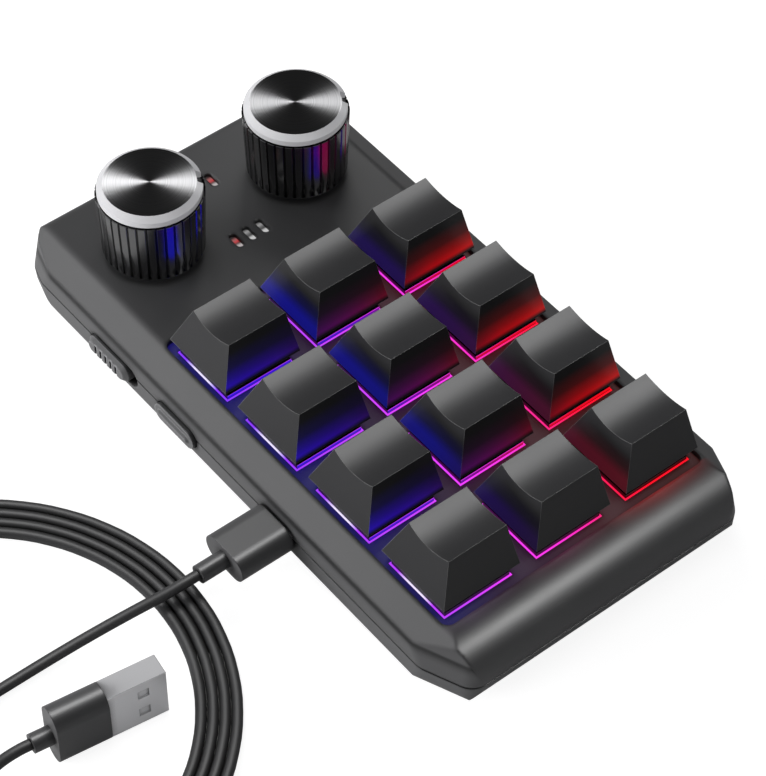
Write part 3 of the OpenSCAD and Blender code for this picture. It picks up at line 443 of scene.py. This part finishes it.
def moulded_plastic(name, colour, roughness, grain_mm, grain_depth, specular=0.4, ior=1.5, metallic=0.0,
                    edge_mm=0.2, painted_edge_colour=None, glow=None, lines=None):
    """Moulded plastic: an even colour, a fine grain pressed by the mould, painted crevice shade, soft edges.

    glow(tree) may return the colour and strength of the light painted on it, and lines(tree) a painted shade
    for shut lines and creases. An edge colour, if given, is painted along the edges as a thin line.
    """
    material, tree = new_material(name)
    place = node(tree, "ShaderNodeTexCoord").outputs["Object"]
    grain = node(tree, "ShaderNodeTexNoise", Vector=place, Scale=1 / (grain_mm * MM), Detail=3.0)
    cloud = node(tree, "ShaderNodeTexNoise", Vector=place, Scale=1 / (CLOUD_MM * MM), Detail=2.0)
    tone = node(tree, "ShaderNodeMapRange", Value=cloud.outputs["Fac"],
                To_Min=1 - CLOUD_TONE, To_Max=1 + CLOUD_TONE)
    shade = node(tree, "ShaderNodeMix", {"data_type": "RGBA", "blend_type": "MULTIPLY"},
                 i0=1.0, i6=linear(colour), i7=tone.outputs[0])
    sheen = node(tree, "ShaderNodeMapRange", Value=cloud.outputs["Fac"],
                 To_Min=roughness - CLOUD_SHEEN, To_Max=roughness + CLOUD_SHEEN)
    soft = node(tree, "ShaderNodeBevel", {"samples": RAY_SAMPLES}, Radius=edge_mm * MM)
    bump = node(tree, "ShaderNodeBump", Height=grain.outputs["Fac"], Strength=GRAIN_STRENGTH,
                Distance=grain_depth * MM, Normal=soft.outputs[0])
    # Painted shade: the colour is darkened in crevices, where less light reaches.
    near = node(tree, "ShaderNodeAmbientOcclusion", {"samples": RAY_SAMPLES}, Distance=CREVICE_SHADE_MM * MM)
    dark = node(tree, "ShaderNodeMath", {"operation": "POWER"}, i0=near.outputs["AO"], i1=CREVICE_SHADE_POWER)
    # Painted shade in shut lines and creases, where a tone for them is given.
    if lines:
        dark = node(tree, "ShaderNodeMath", {"operation": "MULTIPLY"}, i0=dark.outputs[0], i1=lines(tree))
    base = node(tree, "ShaderNodeVectorMath", {"operation": "SCALE"}, i0=shade.outputs[2],
                Scale=dark.outputs[0]).outputs[0]
    # The painted edge line: a painted highlight where the edge colour is paler than the plastic, painted
    # shade where it is darker.
    if painted_edge_colour:
        true = node(tree, "ShaderNodeNewGeometry")
        lean = node(tree, "ShaderNodeVectorMath", {"operation": "DOT_PRODUCT"},
                    i0=soft.outputs[0], i1=true.outputs["Normal"])
        painted_edge = node(tree, "ShaderNodeMapRange", Value=lean.outputs["Value"],
                    From_Min=LEAN_STARTS, From_Max=LEAN_FULL, To_Min=0.0, To_Max=1.0)
        base = node(tree, "ShaderNodeMix", {"data_type": "RGBA"},
                    i0=painted_edge.outputs[0], i6=base, i7=linear(painted_edge_colour)).outputs[2]
    surface = node(tree, "ShaderNodeBsdfPrincipled", Base_Color=base, Roughness=sheen.outputs[0],
                   Normal=bump.outputs[0], Specular_IOR_Level=specular, IOR=ior, Metallic=metallic)
    if glow:
        light, strength = glow(tree)
        tree.links.new(light, surface.inputs["Emission Color"])
        surface.inputs["Emission Strength"].default_value = strength
    node(tree, "ShaderNodeOutputMaterial", Surface=surface.outputs[0])
    return material


print("plastic ready")

# %% [markdown]
# Small lamps under each key shine out round it. The light runs from violet at the back left of the
# keypad to red at its front right.
# The diffuser frame glows by itself. The light that it throws on the caps, the switch flanges and the well
# floor is given to those parts as a faint glow of their own, so that it stays with the model when the
# studio lamps are gone.
# Each glow is a colour that runs across the keypad, kept to where it belongs by masks: how far along, how
# high, and which way the surface faces.

# %% Where the light falls
RIGHT, LEFT, BACK, FRONT, UP = (1, 0, 0), (-1, 0, 0), (0, 1, 0), (0, -1, 0), (0, 0, 1)


def way_along(tree, direction, low, high):
    """How far along a direction a point lies, in the keypad's own millimetres: 0 at low and 1 at high."""
    place = node(tree, "ShaderNodeTexCoord")
    way = node(tree, "ShaderNodeVectorMath", {"operation": "DOT_PRODUCT"},
               i0=place.outputs["Object"], i1=direction)
    return node(tree, "ShaderNodeMapRange", Value=way.outputs["Value"],
                From_Min=low * MM, From_Max=high * MM).outputs[0]


def beyond(tree, direction, edge, softness=0.1):
    """1 beyond an edge along a direction, else 0, with a soft step of some millimetres between."""
    return way_along(tree, direction, edge, edge + softness)


def facing(tree, direction, low=0.5, high=0.7):
    """1 where the surface faces a direction of the keypad's own frame, else 0."""
    place = node(tree, "ShaderNodeTexCoord")
    turn = node(tree, "ShaderNodeVectorMath", {"operation": "DOT_PRODUCT"},
                i0=place.outputs["Normal"], i1=direction)
    return node(tree, "ShaderNodeMapRange", Value=turn.outputs["Value"],
                From_Min=low, From_Max=high).outputs[0]


def light_where(tree, colour, *masks):
    """Light of a colour, as strong as the product of its masks."""
    strength = masks[0]
    for mask in masks[1:]:
        strength = node(tree, "ShaderNodeMath", {"operation": "MULTIPLY"}, i0=strength, i1=mask).outputs[0]
    return node(tree, "ShaderNodeVectorMath", {"operation": "SCALE"}, i0=colour, Scale=strength).outputs[0]


FRAME_SLANT, FRAME_FROM, FRAME_TO = (1, -0.3, 0), -31, 37
FRAME_STOPS = [
    (0.0, "8a3cff"), (0.16, "b040ff"), (0.35, "c845ff"), (0.5, "f040ff"), (0.66, "ff38e0"), (0.73, "ff30c0"),
    (0.82, "ff2880"), (0.91, "ff1a45"), (1.0, "ff1428")]


def frame_light(tree):
    """The colour of the lit frame, from violet to red."""
    return node(tree, "ShaderNodeValToRGB", {"stops": FRAME_STOPS},
                Fac=way_along(tree, FRAME_SLANT, FRAME_FROM, FRAME_TO)).outputs[0]


print("light runs through", len(FRAME_STOPS), "colours")

# %% [markdown]
# The diffuser is a sheet of clouded acrylic under the well, lit from below. Only its edges show, as a thin
# bright line round each key.
# Lamps in the CAD's own places would light it truly but with much noise, so it glows by itself.
# The lines on the outer left are white-hot in the middle of each key, where the small lamp is nearest. The
# row is counted in key pitches, and the fraction says how far along the key a point is.

# %% Lit diffuser
PITCH, ROW_ONE = 21.9, 16.65
OUTER_LINES = 28.6
HOT_STOPS = [(0.0, "000000"), (0.3, "000000"), (0.42, "ffffff"), (0.62, "ffffff"), (0.75, "000000")]
HOT_COLOUR, HOT_SHARE = "f4f0ff", 0.85
FRAME_STRENGTH = 1.08
lit_acrylic, tree = new_material("lit_diffuser")
place = node(tree, "ShaderNodeTexCoord")
split = node(tree, "ShaderNodeSeparateXYZ", i0=place.outputs["Object"])
rows = node(tree, "ShaderNodeMath", {"operation": "DIVIDE"}, i0=split.outputs["Y"], i1=PITCH * MM)
from_row = node(tree, "ShaderNodeMath", {"operation": "ADD"}, i0=rows.outputs[0], i1=0.5 - ROW_ONE / PITCH)
part = node(tree, "ShaderNodeMath", {"operation": "FRACT"}, i0=from_row.outputs[0])
hot = node(tree, "ShaderNodeValToRGB", {"stops": HOT_STOPS}, Fac=part.outputs[0])
outer = node(tree, "ShaderNodeMath", {"operation": "MULTIPLY"},
             i0=hot.outputs[0], i1=beyond(tree, LEFT, OUTER_LINES))
share = node(tree, "ShaderNodeMath", {"operation": "MULTIPLY"}, i0=outer.outputs[0], i1=HOT_SHARE)
colour = node(tree, "ShaderNodeMix", {"data_type": "RGBA"},
              i0=share.outputs[0], i6=frame_light(tree), i7=linear(HOT_COLOUR))
surface = node(tree, "ShaderNodeBsdfPrincipled", Base_Color=linear("181418"), Roughness=0.5,
               Emission_Color=colour.outputs[2], Emission_Strength=FRAME_STRENGTH)
node(tree, "ShaderNodeOutputMaterial", Surface=surface.outputs[0])
dress(["light_plate"], lit_acrylic)
print("frame lit")

# %% [markdown]
# The key caps are black ABS, satin from use, with a painted highlight, a thin pale line along their edges.
# Their front faces catch blue light in the first column, purple in the second and red in the third,
# strongest at the skirt. The faces towards the slider side catch blue in the second column and purple to
# crimson in the third. The first column has nothing beside it there, and the last row nothing in front.

# %% Key caps
CAP_FRONT = [
    (0.0, "1c0098"), (0.2, "200070"), (0.32, "1c0030"), (0.36, "38004a"), (0.5, "48003c"), (0.62, "50001a"),
    (0.7, "600014"), (0.82, "980008"), (1.0, "a80000")]
CAP_FRONT_FADE = [
    (0.0, "000000"), (0.06, "181818"), (0.16, "ffffff"), (0.3, "c8c8c8"), (0.55, "606060"), (0.9, "000000")]
CAP_LEFT_TWO = [(0.0, "180038"), (0.2, "16004e"), (0.35, "08087c"), (1.0, "04048c")]
CAP_LEFT_THREE = [
    (0.0, "540014"), (0.15, "4c0018"), (0.3, "440028"), (0.6, "260044"), (0.85, "180050"), (1.0, "14004c")]
CAP_LEFT_FADE = [(0.0, "d8d8d8"), (0.3, "e4e4e4"), (0.6, "707070"), (0.95, "000000")]
SKIRT_Z, FRONT_FADED_Z, LEFT_FADED_Z = 18.6, 26.6, 25.4
KEYS_SIDE, KEYS_FRONT, KEYS_BACK = 31, -56, 26
BETWEEN_COLUMNS, LAST_ROW = 10.9, -40


def cap_glow(tree):
    """The light on the front and left faces of the caps."""
    front = node(tree, "ShaderNodeValToRGB", {"stops": CAP_FRONT},
                 Fac=way_along(tree, RIGHT, -KEYS_SIDE, KEYS_SIDE))
    front_fade = node(tree, "ShaderNodeValToRGB", {"stops": CAP_FRONT_FADE},
                      Fac=way_along(tree, UP, SKIRT_Z, FRONT_FADED_Z))
    not_last_row = beyond(tree, BACK, LAST_ROW, softness=2)
    to_back = way_along(tree, BACK, KEYS_FRONT, KEYS_BACK)
    left_two = node(tree, "ShaderNodeValToRGB", {"stops": CAP_LEFT_TWO}, Fac=to_back)
    left_three = node(tree, "ShaderNodeValToRGB", {"stops": CAP_LEFT_THREE}, Fac=to_back)
    third_column = beyond(tree, RIGHT, BETWEEN_COLUMNS)
    left = node(tree, "ShaderNodeMix", {"data_type": "RGBA"},
                i0=third_column, i6=left_two.outputs[0], i7=left_three.outputs[0])
    left_fade = node(tree, "ShaderNodeValToRGB", {"stops": CAP_LEFT_FADE},
                     Fac=way_along(tree, UP, SKIRT_Z, LEFT_FADED_Z))
    not_first_column = beyond(tree, RIGHT, -BETWEEN_COLUMNS)
    front_light = light_where(
        tree, front.outputs[0], front_fade.outputs[0], not_last_row, facing(tree, FRONT))
    left_light = light_where(
        tree, left.outputs[2], left_fade.outputs[0], not_first_column, facing(tree, LEFT))
    both = node(tree, "ShaderNodeVectorMath", {"operation": "ADD"}, i0=front_light, i1=left_light)
    return both.outputs[0], 1.0


# The pale edge colour is a painted highlight along the caps' edges.
cap_plastic = moulded_plastic("keycap_abs", "242425", roughness=0.36, grain_mm=0.2, grain_depth=0.006,
                              specular=0.3, edge_mm=0.13, painted_edge_colour="646464", glow=cap_glow)
dress([f"keycap_{n}" for n in KEYS], cap_plastic)
print("caps", len(KEYS))

# %% [markdown]
# The switch housings are black nylon, smooth from the mould. Their flanges stand in the light of the
# frame, so the front edge of each carries a thin bright line over a band of blue or red.
# The edge is one narrow face of the CAD part. Two heights split it into line and band, which is simpler
# than cutting the mesh.

# %% Lit flanges
FLANGE_BAND = [(0.0, "2a10d8"), (0.4, "3a10c8"), (0.6, "800060"), (0.75, "d80020"), (1.0, "f00010")]
BAND_Z, LINE_Z = (15.2, 15.3), (15.88, 15.92)
LAST_FLANGE = -45
FLANGE_STRENGTH = 0.9


def flange_glow(tree):
    """The lit front edge of the flanges."""
    front = facing(tree, FRONT)
    line = node(tree, "ShaderNodeMath", {"operation": "MULTIPLY"}, i0=way_along(tree, UP, *LINE_Z), i1=front)
    band = node(tree, "ShaderNodeValToRGB", {"stops": FLANGE_BAND},
                Fac=way_along(tree, FRAME_SLANT, FRAME_FROM, FRAME_TO))
    colour = node(tree, "ShaderNodeMix", {"data_type": "RGBA"},
                  i0=line.outputs[0], i6=band.outputs[0], i7=frame_light(tree))
    light = light_where(tree, colour.outputs[2], way_along(tree, UP, *BAND_Z), front,
                        beyond(tree, BACK, LAST_FLANGE, softness=1))
    return light, FLANGE_STRENGTH


dress(["switch_lower_housings"],
      moulded_plastic("switch_nylon", "141415", roughness=0.4, grain_mm=0.3, grain_depth=0.005, edge_mm=0.05,
                      glow=flange_glow))
print("flanges lit")

# %% [markdown]
# The floor of the well and the slope in front of the keys take a soft painted light of the same colours,
# blue on the left and red on the right. On the slope it falls off with the square of the way from the well.
# It could be painted on a picture of the part. A colour ramp along the keypad and a few masks say the same
# in numbers, and can be read and changed.

# %% Painted light in the well and on the slope
FLOOR_LIGHT_STOPS = [
    (0.0, "140f5c"), (0.14, "150e4c"), (0.3, "220e30"), (0.5, "2c0e26"), (0.7, "380e18"), (1.0, "300a0a")]
SLOPE_LIGHT_STOPS = [
    (0.0, "000000"), (0.1, "301838"), (0.3, "280e20"), (0.45, "4c1834"), (0.6, "3c1018"), (0.8, "801818"),
    (0.92, "601010"), (1.0, "000000")]
FLOOR_SLANT, FLOOR_SIDE = (1, -0.1, 0), 31
WELL_RIGHT, WELL_FRONT, WELL_BACK = 31.4, 60, 28
FLOOR_Z, DECK_Z = 15.2, 15.5
NEARLY_LEVEL = (0.9, 0.98)
SLOPE_SIDE, SLOPE_START, SLOPE_END, SLOPE_EDGE, SLOPE_LOW_Z = 33, 59.4, 64.5, 0.2, 13.0


def deck_glow(tree):
    """The painted light on the well floor and on the slope in front of the keys."""
    floor = node(tree, "ShaderNodeValToRGB", {"stops": FLOOR_LIGHT_STOPS},
                 Fac=way_along(tree, FLOOR_SLANT, -FLOOR_SIDE, FLOOR_SIDE))
    slope = node(tree, "ShaderNodeValToRGB", {"stops": SLOPE_LIGHT_STOPS},
                 Fac=way_along(tree, RIGHT, -SLOPE_SIDE, SLOPE_SIDE))
    floor_light = light_where(
        tree, floor.outputs[0], facing(tree, UP, *NEARLY_LEVEL), way_along(tree, UP, DECK_Z, FLOOR_Z),
        beyond(tree, LEFT, -WELL_RIGHT), beyond(tree, BACK, -WELL_FRONT), beyond(tree, FRONT, -WELL_BACK))
    fall = way_along(tree, FRONT, SLOPE_END, SLOPE_START)
    slope_light = light_where(
        tree, slope.outputs[0], fall, fall, beyond(tree, FRONT, SLOPE_START - SLOPE_EDGE, SLOPE_EDGE),
        way_along(tree, UP, SLOPE_LOW_Z, DECK_Z))
    both = node(tree, "ShaderNodeVectorMath", {"operation": "ADD"}, i0=floor_light, i1=slope_light)
    return both.outputs[0], 1.0


print("tints", len(FLOOR_LIGHT_STOPS), len(SLOPE_LIGHT_STOPS))

# %% [markdown]
# Where the two shells meet, a shut line runs round the case, and no light comes out of it. The crease
# above it lies in its own soft shade. Both are narrower than the render's shadows can draw, so both are
# painted shade: the colour is darkened there by height.
# Both shells are ABS with a fine spark texture from the mould: a matte grey with a slightly uneven sheen.

# %% Case
SEAM_SHADE_STOPS = [(0.0, "ffffff"), (0.3, "ffffff"), (0.38, "000000"), (0.62, "000000"), (0.7, "ffffff")]
CREASE_SHADE_STOPS = [(0.0, "ffffff"), (0.3, "e0e0e0"), (0.62, "808080"), (0.74, "909090"), (0.9, "ffffff")]
SEAM_Z, CREASE_Z = (7.2, 8.2), (10.4, 13.4)
WALL_LEAN = (0.35, 0.5)


def seam_and_crease_shade(tree):
    """Painted shade: dark in the shut line between the shells, and softly dark along the crease of the side
    walls.
    """
    seam = node(tree, "ShaderNodeValToRGB", {"stops": SEAM_SHADE_STOPS}, Fac=way_along(tree, UP, *SEAM_Z))
    crease = node(tree, "ShaderNodeValToRGB", {"stops": CREASE_SHADE_STOPS}, Fac=way_along(tree, UP, *CREASE_Z))
    place = node(tree, "ShaderNodeTexCoord")
    normal = node(tree, "ShaderNodeSeparateXYZ", i0=place.outputs["Normal"])
    sideways = node(tree, "ShaderNodeMath", {"operation": "ABSOLUTE"}, i0=normal.outputs["X"])
    wall = node(tree, "ShaderNodeMapRange", Value=sideways.outputs[0],
                From_Min=WALL_LEAN[0], From_Max=WALL_LEAN[1])
    soft = node(tree, "ShaderNodeMix", {"data_type": "FLOAT"},
                i0=wall.outputs[0], i2=1.0, i3=crease.outputs[0])
    both = node(tree, "ShaderNodeMath", {"operation": "MULTIPLY"}, i0=seam.outputs[0], i1=soft.outputs[0])
    return both.outputs[0]


dress(["top_case"],
      moulded_plastic("case_abs", "3f3f40", roughness=0.46, grain_mm=0.25, grain_depth=0.015, specular=0.5,
                      edge_mm=1.2, glow=deck_glow, lines=seam_and_crease_shade))
dress(["bottom_case"],
      moulded_plastic("lower_case_abs", "444445", roughness=0.46, grain_mm=0.25, grain_depth=0.015,
                      specular=0.5, edge_mm=0.8, lines=seam_and_crease_shade))
print("case dressed")

# %% [markdown]
# The slider and the button are ABS too. A painted highlight, a pale line along their edges, makes them stand
# out from the wall. The plugs are moulded round the lead in soft PVC, and the lead has an extruded PVC
# jacket with no mould grain to speak of, darker and a little duller.
# The inner mouldings hardly show, so each is one line of a list. The feet are rubber, which has no gloss.

# %% Other mouldings
# The pale edge colour is a painted highlight along the edges of the slider and the button.
dress(["mode_slider", "side_button"],
      moulded_plastic("control_abs", "4a4a4b", roughness=0.42, grain_mm=0.25, grain_depth=0.01, specular=0.5,
                      edge_mm=0.5, painted_edge_colour="707072"))
dress(["usb_c_plug", "usb_a_plug"],
      moulded_plastic("plug_pvc", "424243", roughness=0.42, grain_mm=0.3, grain_depth=0.01, edge_mm=0.3))
dress([lead],
      moulded_plastic("lead_pvc", "2a2a2b", roughness=0.55, grain_mm=0.5, grain_depth=0.005, edge_mm=0.1))
dress(["rubber_feet"],
      moulded_plastic("foot_rubber", "1a1a1a", roughness=0.8, grain_mm=0.3, grain_depth=0.02))
INNER_MOULDINGS = [
    ("switch_black_nylon", "141415", 0.4, 0.005,
     ["switch_upper_housings", "button_switch_body", "left_plunger", "right_plunger"]),
    ("stem_acetal", "b01818", 0.35, 0.01, [f"stem_{n}" for n in KEYS]),
    ("solder_mask", "14401c", 0.3, 0.01, ["circuit_board"]),
    ("led_white", "dcdad4", 0.4, 0.01, ["key_leds"])]
for name, colour, roughness, grain_depth, parts in INNER_MOULDINGS:
    dress(parts,
          moulded_plastic(name, colour, roughness, grain_mm=0.3, grain_depth=grain_depth, edge_mm=0.05))
print("inner mouldings", len(INNER_MOULDINGS))

# %% [markdown]
# The indicators are clear light guides in their slots. They catch daylight from above, and a spark of
# red from the lamp below shows in two of them: the single one and the first of the three.
# Clear plastic in a deep slot would render almost black, so the guides carry what they catch as a faint
# glow.
# All four have the same pattern from front to back, so the place is wrapped at the distance between the
# two rows of guides.

# %% Indicators
GUIDE_CLEAR = [
    (0.0, "c8c8c8"), (0.35, "d0d0d0"), (0.5, "303030"), (0.62, "585858"), (0.8, "a0a0a0"), (1.0, "181818")]
GUIDE_RED = [
    (0.0, "b8b0b0"), (0.3, "c0b8b8"), (0.45, "502020"), (0.6, "c82830"), (0.72, "a86060"), (0.9, "282020")]
GUIDE_Y, GUIDE_ROWS, GUIDE_HALF = 40.65, 16.8, 2
FIRST_GUIDE, SINGLE_GUIDE = 2.0, 50
GUIDE_STRENGTH = 0.8


def guide_glow(tree):
    """Daylight caught in the clear guides, with a spark of red in two of them."""
    place = node(tree, "ShaderNodeTexCoord")
    split = node(tree, "ShaderNodeSeparateXYZ", i0=place.outputs["Object"])
    slot = node(tree, "ShaderNodeMath", {"operation": "WRAP"}, i0=split.outputs["Y"],
                i1=(GUIDE_Y + GUIDE_ROWS / 2) * MM, i2=(GUIDE_Y - GUIDE_ROWS / 2) * MM)
    along = node(tree, "ShaderNodeMapRange", Value=slot.outputs[0],
                 From_Min=(GUIDE_Y - GUIDE_HALF) * MM, From_Max=(GUIDE_Y + GUIDE_HALF) * MM)
    clear = node(tree, "ShaderNodeValToRGB", {"stops": GUIDE_CLEAR}, Fac=along.outputs[0])
    red = node(tree, "ShaderNodeValToRGB", {"stops": GUIDE_RED}, Fac=along.outputs[0])
    either = node(tree, "ShaderNodeMath", {"operation": "MAXIMUM"},
                  i0=beyond(tree, LEFT, FIRST_GUIDE), i1=beyond(tree, BACK, SINGLE_GUIDE))
    light = node(tree, "ShaderNodeMix", {"data_type": "RGBA"},
                 i0=either.outputs[0], i6=clear.outputs[0], i7=red.outputs[0])
    return light.outputs[2], GUIDE_STRENGTH


dress(["indicator_guides"],
      moulded_plastic("light_guide", "707070", roughness=0.25, grain_mm=0.3, grain_depth=0.005, edge_mm=0.05,
                      glow=guide_glow))
print("guides lit")

# %% [markdown]
# The knob grips are glossy black ABS straight from a polished mould, which mirrors the room in each of its
# narrow lands. It is the same plastic as before with a low roughness and next to no grain. A high IOR lifts
# the mirror image on the lands that face the camera.

# %% Knob grips
dress(["left_knob", "right_knob"],
      moulded_plastic("grip_gloss_abs", "0a0a0b", roughness=0.18, grain_mm=0.5, grain_depth=0.0005,
                      specular=0.7, ior=2.0, edge_mm=0.06))
print("grips polished")

# %% [markdown]
# The knob tops are aluminium, turned on a lathe: the tool leaves fine rings, and light spreads across
# them in wedges. The rings could be cut into the mesh, but real ones are far finer than a pixel.
# An anisotropic metal whose grain runs round the knob's own axis gives the same wedges. The rings that
# do show are drawn a quarter of a millimetre apart, coarser than the real ones.
# The chamfer round the top is cut bright afterwards. It mirrors the white room all round, so its colour is
# a painted reflection: a nearly plain light grey shows it better than a metal would here.

# %% Knob tops
RING_MM, RING_NOISE, RING_TONE = 0.25, (0.3, 0.7), (0.82, 1.0)
CHAMFER_R = 9.25
KNOB_X, KNOB_Y = 18.0, 48.9


def turned_aluminium(name, centre):
    """Aluminium turned round an upright axis through centre."""
    material, tree = new_material(name)
    place = node(tree, "ShaderNodeTexCoord")
    own = node(tree, "ShaderNodeMapping", Vector=place.outputs["Object"], Location=[-c for c in centre])
    flat = node(tree, "ShaderNodeVectorMath", {"operation": "MULTIPLY"}, i0=own.outputs[0], i1=(1, 1, 0))
    outwards = node(tree, "ShaderNodeVectorMath", {"operation": "NORMALIZE"}, i0=flat.outputs[0])
    radius = node(tree, "ShaderNodeVectorMath", {"operation": "LENGTH"}, i0=flat.outputs[0])
    rings = node(tree, "ShaderNodeTexNoise", {"noise_dimensions": "1D"}, W=radius.outputs["Value"],
                 Scale=1 / (RING_MM * MM), Detail=3.0)
    tone = node(tree, "ShaderNodeMapRange", Value=rings.outputs["Fac"],
                From_Min=RING_NOISE[0], From_Max=RING_NOISE[1], To_Min=RING_TONE[0], To_Max=RING_TONE[1])
    shade = node(tree, "ShaderNodeMix", {"data_type": "RGBA", "blend_type": "MULTIPLY"},
                 i0=1.0, i6=linear("e6e6e8"), i7=tone.outputs[0])
    face = node(tree, "ShaderNodeBsdfPrincipled", Base_Color=shade.outputs[2], Metallic=1.0, Roughness=0.3,
                Anisotropic=0.92, Tangent=outwards.outputs[0])
    # Painted reflection: the chamfer's light grey stands for the white room that it mirrors.
    cut = node(tree, "ShaderNodeBsdfPrincipled", Base_Color=linear("acacae"), Metallic=0.15, Roughness=0.3)
    rim = node(tree, "ShaderNodeMath", {"operation": "GREATER_THAN"},
               i0=radius.outputs["Value"], i1=CHAMFER_R * MM)
    both = node(tree, "ShaderNodeMixShader", i0=rim.outputs[0], i1=face.outputs[0], i2=cut.outputs[0])
    node(tree, "ShaderNodeOutputMaterial", Surface=both.outputs[0])
    return material


for side, x in (("left", -KNOB_X), ("right", KNOB_X)):
    dress([f"{side}_knob_cap"], turned_aluminium(f"turned_aluminium_{side}", (x * MM, KNOB_Y * MM, 0)))
print("knob tops turned")

# %% [markdown]
# The plugs' shells, the screws, the shafts and the springs are steel with a thin bright plating, and the
# battery is wrapped in a silver film. Faint rub marks break up their sheen.
# A true metal shows only what it mirrors, and this room is dark in reflections. So the plated parts are
# partly matte, and the large plug's shell, which stands in full view, is a bright satin plating with
# soft edges, which painted shade darkens to a thin grey line.

# %% Metal and film
RUB_MM, RUB_SHEEN = 3.333, (-0.04, 0.06)


def polished_metal(name, colour, roughness, metallic=1.0):
    """Stamped or drawn metal with faint rub marks."""
    material, tree = new_material(name)
    place = node(tree, "ShaderNodeTexCoord")
    rub = node(tree, "ShaderNodeTexNoise", Vector=place.outputs["Object"],
               Scale=1 / (RUB_MM * MM), Detail=2.0)
    sheen = node(tree, "ShaderNodeMapRange", Value=rub.outputs["Fac"],
                 To_Min=roughness + RUB_SHEEN[0], To_Max=roughness + RUB_SHEEN[1])
    surface = node(tree, "ShaderNodeBsdfPrincipled", Base_Color=linear(colour), Metallic=metallic,
                   Roughness=sheen.outputs[0])
    node(tree, "ShaderNodeOutputMaterial", Surface=surface.outputs[0])
    return material


# The grey edge colour is painted shade along the edges of the large plug's shell.
dress([big_shell],
      moulded_plastic("plated_shell", "e2e2e4", roughness=0.3, grain_mm=0.5, grain_depth=0.002, specular=1.0,
                      ior=1.8, metallic=0.3, edge_mm=0.2, painted_edge_colour="a0a0a4"))
dress(["usb_c_shell", "usb_socket", "left_encoder_body", "right_encoder_body", "mode_switch_body",
       "left_shaft", "right_shaft", "case_screws", *springs],
      polished_metal("plated_steel", "e4e4e6", roughness=0.38, metallic=0.7))
dress(["battery"], polished_metal("pouch_film", "b8b8bc", roughness=0.4))
print("finishes", len(bpy.data.materials))

# %% [markdown]
# The last step brings the scene up to date.

# %% Close
bpy.context.view_layer.update()
